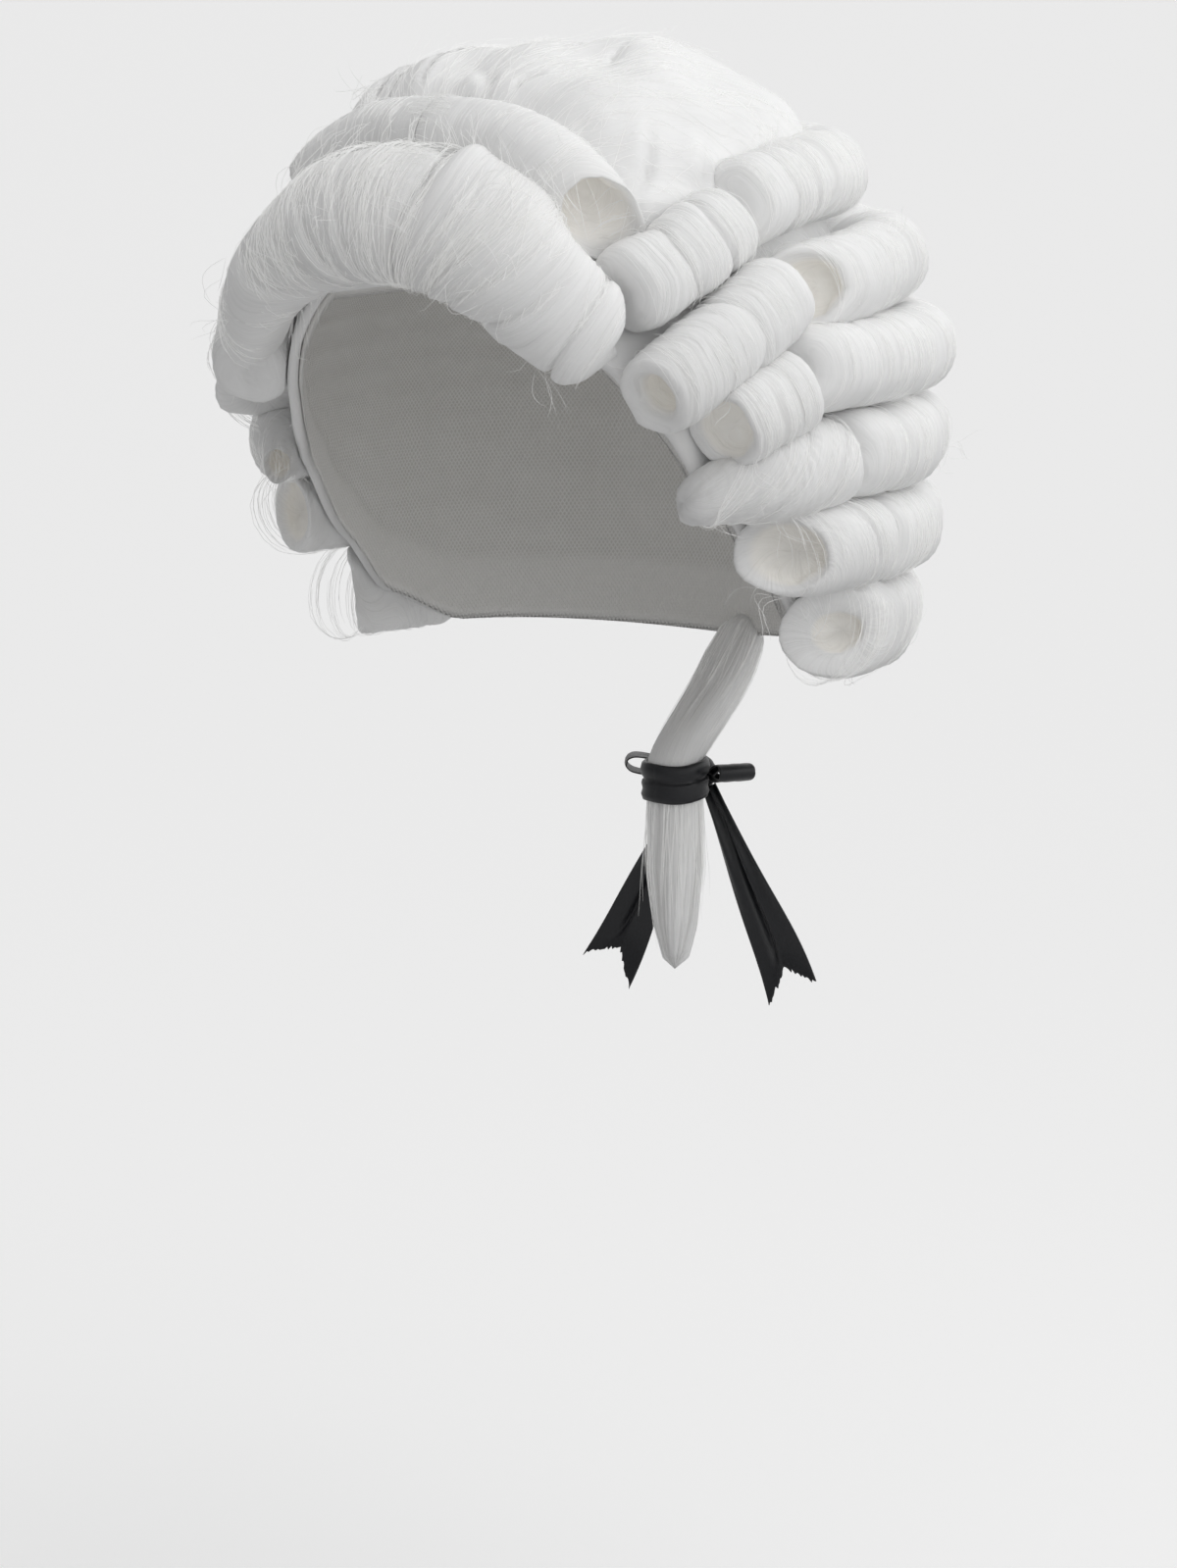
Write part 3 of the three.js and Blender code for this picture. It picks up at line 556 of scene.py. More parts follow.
def make_rolls():
    hairs, rolls = {"left": [], "right": []}, {}
    for name, side in SIDES:
        start, end = PARTING + side * 0.1, side * TEMPLE

        def depth(along, start=start, end=end):
            bend = np.abs((start + (end - start) * along) / TEMPLE)
            return FRONT_ROLL_DEPTH + FRONT_ROLL_FALL * bend ** 2.3

        rolls[f"front_roll_{name}"] = roll = Roll(start, end, depth, FRONT_ROLL_BREADTH,
                                                  FRONT_ROLL_THICKNESS)
        front_roll(f"front_roll_{name}", roll, 11 + side, side)
        hairs[name].append(hairs_on_roll(roll, 300, 5 + side, inward=0.5 * side))
        rolls[f"crown_roll_{name}"] = roll = Roll(
            side * (TEMPLE - 1), side * 0.2,
            lambda along: CROWN_ROLL_DEPTH + CROWN_ROLL_FALL * np.abs(1 - along) ** 3.5,
            CROWN_ROLL_BREADTH, CROWN_ROLL_THICKNESS,
        )
        rolled_curl(f"crown_roll_{name}", roll, 40 + side, side, hollow=0.82, deep=True,
                    slant=0.5, cut_up=0.3, steps=(200, 40))
        hairs[name].append(hairs_on_roll(roll, 90, 15 + side, clear=0.13))
    for number, (curl, row, start, end, dip, dip_end, thick, special) in enumerate(CURLS):
        row_depth = FIRST_ROW_DEPTH + row * ROW_PITCH
        for name, side in SIDES:
            own = {**special, **(RIGHT_TEMPLE.get(curl, {}) if side < 0 else {})}
            broad, tip = own.pop("broad", 1), own.pop("tip", 1)
            rolls[f"{curl}_{name}"] = roll = Roll(
                side * start, side * end,
                lambda along, d=row_depth, p=dip, q=dip_end: d + ROW_PITCH * (p + (q - p) * along),
                CURL_BREADTH * broad, CURL_THICKNESS * thick, tip,
            )
            rolled_curl(f"{curl}_{name}", roll, 100 * number + 50 + side * 20, side, **own)
            hairs[name].append(hairs_on_roll(roll, 56, 100 * number + 3 + side,
                                             twist=side * own.get("twist", 0)))
    for name, side in SIDES:
        hairs[name].append(hairs_between(rolls[f"front_roll_{name}"], rolls[f"crown_roll_{name}"],
                                         44, side, 290 + side))
    for kind, along, turns, count, seed in (("crown", 0.9, (0.3, 0.66), 50, 294),
                                            ("front", 0.1, (0.3, 0.6), 40, 295)):
        pair = [rolls[f"{kind}_roll_{name}"] for name, _ in SIDES]
        hairs["left"].append(hairs_over_seam(*pair, along, turns, count, seed))
    for number, (name, along, turn, *rest) in enumerate(STRAYS):
        side = name.split("_")[-1]
        turn = turn if side == "left" else 1 - turn
        hairs[side].append(stray_hairs(rolls[name], along, turn, *rest, 300 + number))
    for name, paths in hairs.items():
        loose_hairs(f"loose_hairs_{name}", np.concatenate(paths))


# ---- crown hair and cap ---------------------------------------------------------------------

def built_up(down):
    """The share of the full height to which the crown hair is built up, with its bends eased."""
    rise = [np.interp(down + step, *np.array(HAIR_SECTION, float).T)
            for step in (-0.03, -0.018, -0.006, 0.006, 0.018, 0.03)]
    return np.mean(rise, axis=0)


def crown_lift(x, y, rise, down):
    """How far the crown hair stands off its even form, and the strand coordinates there."""
    spread, run = np.arctan2(x, y + CROWN_SOURCE), np.hypot(x, y + CROWN_SOURCE)
    across = spread * CROWN_SOURCE + 3.5 * MM * patches(run / (19 * MM), spread * 5 + 20, 3)
    across = across + 1.6 * MM * patches(run / (8 * MM), spread * 14 + 20, 13)
    teased = patches(x / (17 * MM) + 30, y / (21 * MM) + 30, 4)
    parted = np.abs(ripple(across / (12 * MM) + 0.4 * teased, 9))
    slits = bump_at(parted, 0, 0.06) * eased(patches(run / (15 * MM), spread * 9 + 30, 7), 0.0, 0.4)
    fine = locks(across * 0.8, 0.5 + 0 * x, 6)
    puffed = patches(x / (9 * MM) + 30, y / (12 * MM) + 30, 14)
    lift = 3.1 * MM * teased + 1.1 * MM * puffed + 1.0 * MM * ripple(across / (8 * MM), 5)
    lift = lift - 2.4 * MM * slits + 0.8 * fine
    for x0, y0, x1, y1, depth, width in CROWN_SLITS:
        run_x, run_y = (x1 - x0) * MM, (y1 - y0) * MM
        length = math.hypot(run_x, run_y)
        way = ((x - x0 * MM) * run_x + (y - y0 * MM) * run_y) / length ** 2
        aside = ((x - x0 * MM) * run_y - (y - y0 * MM) * run_x) / length
        aside = aside + 1.2 * MM * np.sin(3 * way)
        lift = lift - depth * MM * bump_at(aside, 0, width * MM) * bump_at(way, 0.5, 0.55)
        lift = lift + (0.35 * depth * MM * bump_at(aside, 2.4 * width * MM, 2 * width * MM)
                       * bump_at(way, 0.5, 0.6))
    lift = lift * rise * eased(down, 0, 0.05) + 0.5 * fine * (1 - rise)
    return lift, fine, np.stack([across / MM, run / MM], -1)


def crown_hair():
    """The hair laid over the cap, built up and teased on the crown and combed to the back."""
    outer = 0.86

    def form(a, b):
        azimuth = 360 * a - 180
        outside = b <= outer
        down = np.where(outside, (b / outer) ** 0.85, 1 - (b - outer) / (1 - outer))
        rise = built_up(down)
        lean = lean_down(azimuth, down)
        base = head_point(azimuth, lean, HAIR_OUTSIDE + 0 * a)
        lift, fine, strands = crown_lift(base[:, 0], base[:, 1], rise, down)
        rim = eased(down, 1, 0.985)
        out = HAIR_OUTSIDE + rise * CROWN_RISE + lift * rim
        wall = (out - HAIR_INSIDE) * (0.35 + 0.65 * rim)
        out = HAIR_INSIDE + np.where(outside, wall, 0)
        groove = 0.3 * grooves(fine, 0.35) * outside
        return head_point(azimuth, lean, out), strands, 0 * a, groove

    lay("crown_hair", 320, 175, form)


def hairs_on_crown(count, seed):
    """Single hairs combed back over the crown, some of them teased up off it."""
    chance, each = np.random.default_rng(seed), (count, 1)
    spread = chance.uniform(-0.75, 0.75, each) + chance.normal(0, 0.05, each) * HAIR_SHARES
    spread = spread + 0.012 * waves(chance, 3, 9, each)
    run = chance.uniform(0.05, 0.2, each) + chance.uniform(0.012, 0.045, each) * HAIR_SHARES
    x, y = (np.sin(spread) * run).ravel(), (np.cos(spread) * run - CROWN_SOURCE).ravel()
    wide, long = HEAD_WIDTH / 2 + HAIR_OUTSIDE, HEAD_LENGTH / 2 + HAIR_OUTSIDE
    reach = np.minimum(np.hypot(x / wide, y / long), 0.97)
    lean = np.degrees(np.arcsin(reach ** (CROWN_FULLNESS / 2)))
    azimuth = np.degrees(np.arctan2(x / wide, -y / long))
    down = np.minimum(0.5 * lean / round_head(CROWN_EDGE, azimuth), 0.62)
    rise = built_up(down)
    lift = crown_lift(x, y, rise, down)[0].reshape(run.shape)
    frizz = np.where(chance.uniform(0, 1, each) < 0.16, 3.6, 0.9)
    frizz = np.minimum(frizz * chance.exponential(1, each), 7)
    loose = chance.uniform(0.05, 0.4, each) + frizz * HAIR_SHARES ** 2
    out = HAIR_OUTSIDE + rise * CROWN_RISE + (lift + loose * MM).ravel()
    return head_point(azimuth, lean, out).reshape(*run.shape, 3)


def net_cap():
    """The net cap, with rows of sewn wefts inside it and a tape round its edge."""
    inner = 0.75

    def form(a, b):
        azimuth = 360 * a - 180
        inside = b <= inner
        down = np.where(inside, b / inner, 1 - (b - inner) / (1 - inner))
        lean = lean_down(azimuth, down)
        place = head_point(azimuth, lean, 0 * a)
        depth = -place[:, 2]
        tape = eased(down, 0.945, 0.95)
        weft = np.abs(((depth + 1.5 * MM * np.sin(np.radians(azimuth * 2))) / (9 * MM)) % 1 - 0.5)
        ridge = 0.55 * MM * eased(weft, 0.16, 0.08) * eased(down, 0.2, 0.24) * (1 - tape)
        ridge = ridge + 0.5 * MM * tape
        out = np.where(inside, 0.55 * MM - ridge, CAP_WALL)
        strands = np.stack([azimuth * 1.5, lean * 1.7], -1)
        return head_point(azimuth, lean, out), strands, tape, 0 * a

    lay("cap", 140, 140, form, "net")


# ---- single hairs ---------------------------------------------------------------------------

def waves(chance, low, high, each):
    """Waves along single hairs, from low to high in radians to a hair's length."""
    return np.sin(HAIR_SHARES * chance.uniform(low, high, each) + chance.uniform(0, 6, each))


def loose_hairs(name, paths):
    """Single hairs that lie on or stand off the locks. Paths has one row of points for each."""
    threads = bpy.data.curves.new(name, "CURVE")
    threads.dimensions = "3D"
    threads.bevel_depth = HAIR_RADIUS
    threads.bevel_resolution = 0
    threads.use_fill_caps = True
    count = paths.shape[1]
    taper = np.interp(HAIR_SHARES[0], (0, 0.12, 0.8, 1), (0.5, 1, 1, 0.3))
    for points in paths:
        hair = threads.splines.new("POLY")
        hair.points.add(count - 1)
        hair.points.foreach_set("co", np.hstack([points, np.ones((count, 1))]).ravel())
        hair.points.foreach_set("radius", taper)
    holder = bpy.data.objects.new(name + "_threads", threads)
    mesh = bpy.data.meshes.new_from_object(holder)
    mesh.name = name
    bpy.data.objects.remove(holder)
    for layer in list(mesh.uv_layers):
        mesh.uv_layers.remove(layer)
    mesh.shade_smooth()
    return piece(name, mesh, "hair")


def hairs_on_roll(roll, count, seed, inward=0.0, clear=0.03, twist=0.0):
    """Single hairs wound round a roll, a little off its surface. Inward is set for the front
    roll, to its side: they then run in towards the parting."""
    chance, each = np.random.default_rng(seed), (count, 1)
    first = chance.uniform(0.1, 0.5, each)
    last = np.minimum(0.93, first + chance.uniform(0.16, 0.6, each))
    turn = first + (last - first) * HAIR_SHARES
    along = chance.uniform(clear, 0.97, each) + 0 * HAIR_SHARES
    astray = 0.1 if inward else 0.045
    along = along + chance.normal(0, astray, each) * (HAIR_SHARES - 0.5)
    along = along - twist * (turn - 0.5) * roll.thickness * math.pi / roll.length
    down = (turn - 0.5) * np.sign(inward) + 0.5
    if inward:
        low, high = eased(down, 0.45, 0.98), 1 - eased(down, 0.02, 0.5)
        along = along - (0.9 * low + 0.5 * high) * along * (1 - along) ** 2 - 0.04 * low
    along = np.clip(along, 0.01, 0.96)
    off = chance.uniform(0.0, 0.3, each)
    off = off + chance.exponential(0.3, each) * np.abs(waves(chance, 2, 6, each))
    outward = 1 + off * MM / roll.radius
    if inward:
        shear, lower = end_turned(along, down)
        slim = np.interp(along, (0.3, 0.55, 0.76, 0.88, 0.95), (0, 0.03, 0.08, 0.14, 0.24))
        outward = outward - slim + lower / roll.radius
        along = along + shear / roll.length
    place = roll.place(along.ravel(), (TURN * turn).ravel(), outward.ravel())
    return place.reshape(*turn.shape, 3)


def spanned(first, last, share):
    """Straight paths from the first places to the last."""
    return first[:, None] * (1 - share) + last[:, None] * share


def lifted(places, low, high, chance):
    """Steps of low to high millimetres away from the middle of the head."""
    away = unit(places + np.array([0, 0, 0.12]))
    return away * chance.uniform(low, high, (len(places), 1)) * MM


def hairs_between(front, crown, count, side, seed):
    """Hairs combed back from the front roll over the valley to the crown roll."""
    chance, share = np.random.default_rng(seed), HAIR_SHARES[..., None]
    along = chance.uniform(0.0, 0.75, count)
    full = np.ones(count)
    turn = 0.5 - side * chance.uniform(0.1, 0.26, count)
    first = front.place(along, TURN * turn, full)
    turn = 0.5 + side * chance.uniform(-0.1, 0.14, count)
    last = crown.place(np.clip(1 - along + chance.normal(0, 0.05, count), 0.02, 0.98),
                       TURN * turn, full)
    arch = lifted(first, 0.5, 2.5, chance)
    aside = chance.normal(0, 1, (count, 3)) * MM
    path = spanned(first, last, share) + arch[:, None] * np.sin(math.pi * share)
    return path + aside[:, None] * np.sin(TURN * share)


def hairs_over_seam(first, last, along, turns, count, seed):
    """Hairs that lie over the seam where the ends of two rolls meet."""
    chance, share = np.random.default_rng(seed), HAIR_SHARES[..., None]
    turn = chance.uniform(*turns, count)
    across = np.clip(turn + chance.normal(0, 0.04, count), *turns)
    full = np.full(count, 1 + 0.4 * MM / first.radius)
    near = first.place(along + chance.uniform(-0.09, 0.07, count), TURN * turn, full)
    far = last.place(along + chance.uniform(-0.09, 0.07, count), TURN * (1 - across), full)
    arch = lifted((near + far) / 2, 0.3, 1.6, chance)
    return spanned(near, far, share) + arch[:, None] * np.sin(math.pi * share)


def stray_hairs(roll, along, turn, reach, bow, count, seed):
    """Hairs that leave a roll and end in the air."""
    chance, share = np.random.default_rng(seed), HAIR_SHARES[..., None]
    first = roll.place(np.clip(along + chance.uniform(-0.06, 0.06, count), 0.01, 0.99),
                       TURN * turn + chance.uniform(-0.5, 0.5, count), np.ones(count))
    far = np.array(reach) * MM * chance.uniform(0.4, 1.15, (count, 1))
    far = far + chance.normal(0, 1.8 * MM, (count, 3))
    aside = unit(np.cross(far, chance.normal(0, 1, (count, 3)))) * bow * MM
    swing = np.sin(share * math.pi * chance.uniform(0.7, 1.7, (count, 1, 1)))
    return first[:, None] + far[:, None] * share + aside[:, None] * swing


# ---- queue and ribbon -----------------------------------------------------------------------

def along_path(points, share):
    """Places and directions on a smooth path through points, at shares of its length."""
    points = np.array(points, float)
    ends = np.vstack([2 * points[0] - points[1], points, 2 * points[-1] - points[-2]])
    fine = []
    for i in range(1, len(ends) - 2):
        t = np.linspace(0, 1, 40, endpoint=i == len(ends) - 3)[:, None]
        p, q, r, s = ends[i - 1:i + 3]
        fine.append(0.5 * (2 * q + (r - p) * t + (2 * p - 5 * q + 4 * r - s) * t ** 2
                           + (3 * q - p - 3 * r + s) * t ** 3))
    fine = np.vstack(fine)
    walked = np.concatenate([[0], np.cumsum(np.linalg.norm(np.diff(fine, axis=0), axis=1))])
    reach = np.asarray(share) * walked[-1]
    place = np.stack([np.interp(reach, walked, fine[:, i]) for i in range(3)], -1)
    near = np.stack([np.interp(reach + 1e-4, walked, fine[:, i]) for i in range(3)], -1)
    back = np.stack([np.interp(reach - 1e-4, walked, fine[:, i]) for i in range(3)], -1)
    return place, unit(near - back), walked[-1]


nape = head_point(180.0, lean_at(QUEUE_TOP, HAIR_OUTSIDE), HAIR_OUTSIDE)
QUEUE_PATH = (
    (0, nape[1], nape[2]),
    (0, nape[1] + (QUEUE_SETBACK - nape[1]) * 0.4, nape[2] + (-KNOT_DEPTH - nape[2]) * 0.4),
    (0, QUEUE_SETBACK, -KNOT_DEPTH + KNOT_HEIGHT / 2),
    (0, QUEUE_SETBACK, -KNOT_DEPTH - KNOT_HEIGHT / 2),
    (0, QUEUE_SETBACK, -KNOT_DEPTH - QUEUE_LENGTH),
)


def round_queue(place, axis, radius, turn):
    """Points round the queue's path, at a turn that starts on its neck side."""
    side = np.array([1.0, 0, 0])
    back = np.cross(side, axis)
    return (place + side * (radius * np.sin(turn))[:, None]
            - back * (radius * np.cos(turn))[:, None])


def queue():
    """The tail of hair, gathered by the ribbon and parted into points at its end."""
    def form(a, b):
        place, axis, length = along_path(QUEUE_PATH, a)
        sizes = ((0, 0), (0.004, 0.5), (0.05, 0.86), (0.14, 1), (0.3, 0.96), (0.4, 0.93),
                 (0.52, 0.93), (0.6, 1.0), (0.75, 0.97), (0.88, 0.74), (0.96, 0.42), (1, 0))
        size = np.interp(a, *np.array(sizes, float).T)
        across = b * math.pi * QUEUE_WIDTH
        part = np.abs(ripple(b * 9 + 1.5 * a, 71, 9))
        fine = np.abs(ripple(b * 31 + 4 * a + 0.5 * part, 72, 31))
        lift = 1.3 * MM * (part - 0.4) + 0.55 * MM * (fine - 0.4)
        lift = lift * (0.6 + 0.9 * eased(a, 0.55, 0.95)) * eased(a, 0, 0.05)
        held = 1 - bump_at(a, 0.46, 0.07)
        shown = np.where(size > 0, lift * held, 0) * np.minimum(1, size * 3)
        radius = QUEUE_WIDTH / 2 * size + shown
        droop = 5 * MM * ripple(b * 7, 73, 7) * eased(a, 0.75, 1) * size
        spot = round_queue(place, axis, radius, TURN * b) + axis * droop[:, None]
        groove = grooves(lift, 0.5) * held
        return spot, np.stack([across / MM, a * length / MM], -1), 0 * a, groove

    lay("queue", 150, 120, form)


def hairs_on_queue(count, seed):
    """Single hairs down the queue, some of which stand off it and pass its end."""
    chance, each = np.random.default_rng(seed), (count, 1)
    first = np.where(chance.uniform(0, 1, each) < 0.6, 0.53, 0.03)
    along = first + chance.uniform(0.2, 0.42, each) * HAIR_SHARES
    place, axis, _ = along_path(QUEUE_PATH, np.minimum(along, 1).ravel())
    size = np.interp(along, (0, 0.05, 0.14, 0.4, 0.6, 0.75, 0.88, 0.97),
                     (0.5, 0.86, 1, 0.93, 1, 0.97, 0.72, 0.35))
    turn = chance.uniform(0, TURN, each) + chance.normal(0, 0.25, each) * HAIR_SHARES
    off = 0.4 + chance.exponential(0.7, each) * HAIR_SHARES ** 2
    radius = QUEUE_WIDTH / 2 * size + off * MM * eased(along, 0.5, 0.7) + 0.2 * MM
    spot = round_queue(place, axis, radius.ravel(), turn.ravel())
    return spot.reshape(*turn.shape, 3)


wrap_inside = QUEUE_WIDTH / 2 + GAP
wrap_outside = wrap_inside + 2 * MM
knot_back = QUEUE_SETBACK + wrap_outside + KNOT_HEIGHT / 4


def ribbon_knot():
    """Two turns of ribbon round the queue, and the knot that they are tied in."""
    body = bmesh.new()
    creases = (-1, -0.98, -0.7, -0.42, -0.12, 0.02, 0.06, 0.3, 0.62, 0.9, 0.98, 1)
    bulge = (0.3, 0.62, 0.9, 0.66, 0.86, 0.72, 0.34, 0.84, 1.0, 0.8, 0.6, 0.3)
    ring = [body.verts.new((wrap_inside + (wrap_outside - wrap_inside) * g, 0, h * KNOT_HEIGHT / 2))
            for h, g in zip(creases, bulge)]
    ring += [body.verts.new((wrap_inside, 0, -h * KNOT_HEIGHT / 2)) for h in (-0.97, 0, 0.97)]
    edges = [body.edges.new((ring[i], ring[(i + 1) % len(ring)])) for i in range(len(ring))]
    bmesh.ops.spin(body, geom=ring + edges, cent=(0, 0, 0), axis=(0, 0, 1),
                   angle=TURN, steps=64, use_merge=True)
    for vert in body.verts:
        turn = math.atan2(vert.co.y, vert.co.x)
        vert.co.z += 0.7 * MM * math.sin(turn) + 0.3 * MM * math.sin(3 * turn + 1)
    knot = bmesh.ops.create_uvsphere(body, u_segments=40, v_segments=28, radius=1)["verts"]
    for vert in knot:
        x, y, z = vert.co
        fold = 0.09 * math.sin(9 * x + 2.5 * z) + 0.05 * math.sin(17 * x - 3 * z)
        pinch = 1 - 0.22 * abs(z) ** 2
        vert.co = Vector((
            x * KNOT_WIDTH / 2 * pinch * (1 + fold * (1 - abs(z))),
            y * KNOT_HEIGHT / 3 * (1 + fold) + wrap_outside + KNOT_HEIGHT / 4,
            z * KNOT_HEIGHT / 2,
        ))
    bmesh.ops.translate(body, verts=body.verts, vec=(0, QUEUE_SETBACK, -KNOT_DEPTH))
    uv = body.loops.layers.uv.new("strands")
    for face in body.faces:
        for corner in face.loops:
            x, y, z = corner.vert.co
            turn = math.atan2(x, y - QUEUE_SETBACK)
            corner[uv].uv = (z / MM, turn * 9)
    bmesh.ops.recalc_face_normals(body, faces=body.faces)
    for face in body.faces:
        face.smooth = True
    mesh = bpy.data.meshes.new("ribbon_knot")
    body.to_mesh(mesh)
    body.free()
    piece("ribbon_knot", mesh, "satin")


def cloth(made):
    """Gives a flat piece of ribbon its thickness."""
    wall = made.modifiers.new("thickness", "SOLIDIFY")
    wall.thickness, wall.offset = RIBBON_THICKNESS, 0
    return made


def ribbon_loop(name, side):
    """A loop of the bow: ribbon gathered at the knot, out to its bend and back."""
    rise, swing = math.radians(LOOP_RISE), math.radians(LOOP_SWING)
    out = np.array([side * math.cos(swing), -math.sin(swing), math.tan(rise)])
    out /= np.linalg.norm(out)
    across = np.array([side * math.sin(swing), math.cos(swing), 0])
    up = np.cross(out, across) * side
    root = np.array([side * KNOT_WIDTH / 2, knot_back, -KNOT_DEPTH])
    path = ((0.4, 0.4), (5, 1.6), (11, 2.5), (16, 2.4), (18.2, 1.3), (18.5, 0), (18.2, -1.3),
            (16, -2.4), (11, -2.5), (5, -1.7), (0.4, -0.4))
    path = np.array([(x, y, 0) for x, y in path]) * MM

    def form(a, b):
        place, _, length = along_path(path, a)
        breadth = TAIL_GATHER + (LOOP_SPREAD - TAIL_GATHER) * place[:, 0] / LOOP_LENGTH
        pleat = 0.5 * MM * np.sin((b - 0.5) * 14) * eased(place[:, 0], 0.016, 0.002)
        curve = 0.5 * MM * np.cos((b - 0.5) * 3.1) * eased(place[:, 0], 0, 0.012)
        spot = (root + out * (place[:, 0] + curve)[:, None]
                + up * (place[:, 1] + pleat)[:, None]
                + across * ((b - 0.5) * breadth * RIBBON_WIDTH)[:, None])
        return spot, np.stack([b * RIBBON_WIDTH / MM, a * length / MM], -1), 0 * a

    made = cloth(lay(name, 60, 20, form, "satin", closed=False))
    length = float(along_path(path, np.array([1.0]))[2])


def ribbon_tail(name, side):
    """A free end of the ribbon, pleated into the knot, with a frayed swallowtail cut."""
    spread = math.radians(TAIL_SPREAD)
    down = np.array([side * math.sin(spread), 0, -math.cos(spread)])
    across = np.array([math.cos(spread), 0, side * math.sin(spread)])
    root = np.array([side * (TAIL_GATHER * RIBBON_WIDTH / 2 + GAP), knot_back,
                     -KNOT_DEPTH - KNOT_HEIGHT / 3])
    normal = np.cross(down, across)

    def form(a, b):
        middle = b - 0.5
        breadth = (TAIL_GATHER + (1 - TAIL_GATHER) * a) * RIBBON_WIDTH
        notch = TAIL_NOTCH * RIBBON_WIDTH * (1 - 2 * np.abs(middle)) * a ** 4
        fray = 0.9 * MM * ripple(b * 40, 80 + side) * eased(a, 0.97, 1)
        pleat = np.sin(middle * 15) * 0.9 * MM * (1 - eased(a, 0.1, 0.75))
        fold = (-2.2 * MM * bump_at(middle, 0.12 - 0.3 * a, 0.07) * eased(a, 0, 0.2)
                * (1 - eased(a, 0.75, 1)))
        wave = TAIL_RIPPLE * np.sin(TURN * a) * a + 0.8 * MM * np.sin(5 * a + 4 * middle)
        spot = (root + down * (a * TAIL_LENGTH - notch + fray)[:, None]
                + across * (middle * breadth)[:, None]
                + normal * (pleat + fold + wave * a)[:, None])
        return spot, np.stack([b * RIBBON_WIDTH / MM, a * TAIL_LENGTH / MM], -1), 0 * a

    made = cloth(lay(name, 90, 32, form, "satin", closed=False))


make_rolls()
crown_hair()
loose_hairs("loose_hairs_crown", hairs_on_crown(800, 8))
net_cap()
queue()
loose_hairs("loose_hairs_queue", hairs_on_queue(160, 9))
ribbon_knot()
for word, sign in SIDES:
    ribbon_loop(f"bow_loop_{word}", sign)
    ribbon_tail(f"ribbon_tail_{word}", sign)


# ---- materials ------------------------------------------------------------------------------

def join(tree, node, links):
    """Links sources to a node's sockets."""
    for name, source in links:
        tree.links.new(source, node.inputs[name])


def add(tree, kind, links=(), **values):
    """Adds a node. Values are its settings or unlinked sockets, links are (socket, source)."""
    made = tree.nodes.new(kind)
    for name, value in values.items():
        socket = next((s for s in made.inputs if s.name.lower().replace(" ", "_") == name), None)
        if socket is None:
            setattr(made, name, value)
        else:
            socket.default_value = value
    join(tree, made, links)
    return made


def feed(tree, sockets, values):
    """Sets sockets to numbers and colours, or links them to sources."""
    for socket, value in zip(sockets, values):
        if isinstance(value, (int, float)):
            socket.default_value = value
        elif isinstance(value, tuple):
            socket.default_value = (*value, 1)
        else:
            tree.links.new(value, socket)


def maths(tree, operation, first, second):
    """A Math node of a source and a number or a source."""
    made = add(tree, "ShaderNodeMath", operation=operation)
    feed(tree, made.inputs, (first, second))
    return made.outputs[0]


def scaled(tree, source, times, plus):
    return maths(tree, "ADD", maths(tree, "MULTIPLY", source, times), plus)


def shared(tree, first, second, share):
    """Two sources added, with a share of the second."""
    return scaled(tree, first, 1 - share, maths(tree, "MULTIPLY", second, share))


def mixed(tree, factor, first, second, kind="MIX"):
    """A Mix node of two colours or sources."""
    made = add(tree, "ShaderNodeMix", [("Factor", factor)], data_type="RGBA", blend_type=kind)
    feed(tree, made.inputs[6:8], (first, second))
    return made.outputs[2]


def noise(tree, spot, scale, detail, roughness=0.5):
    return add(tree, "ShaderNodeTexNoise", [("Vector", spot)], scale=scale, detail=detail,
               roughness=roughness).outputs[0]


def mask(tree, name):
    return add(tree, "ShaderNodeAttribute", attribute_name=name).outputs["Fac"]


def grade(tree, source, stops):
    """A Color Ramp of (place, colour) stops."""
    made = tree.nodes.new("ShaderNodeValToRGB")
    tree.links.new(source, made.inputs[0])
    ramp = made.color_ramp
    while len(ramp.elements) < len(stops):
        ramp.elements.new(0.5)
    for element, (place, colour) in zip(ramp.elements, stops):
        element.position, element.color = place, (*colour, 1)
    return made.outputs[0]


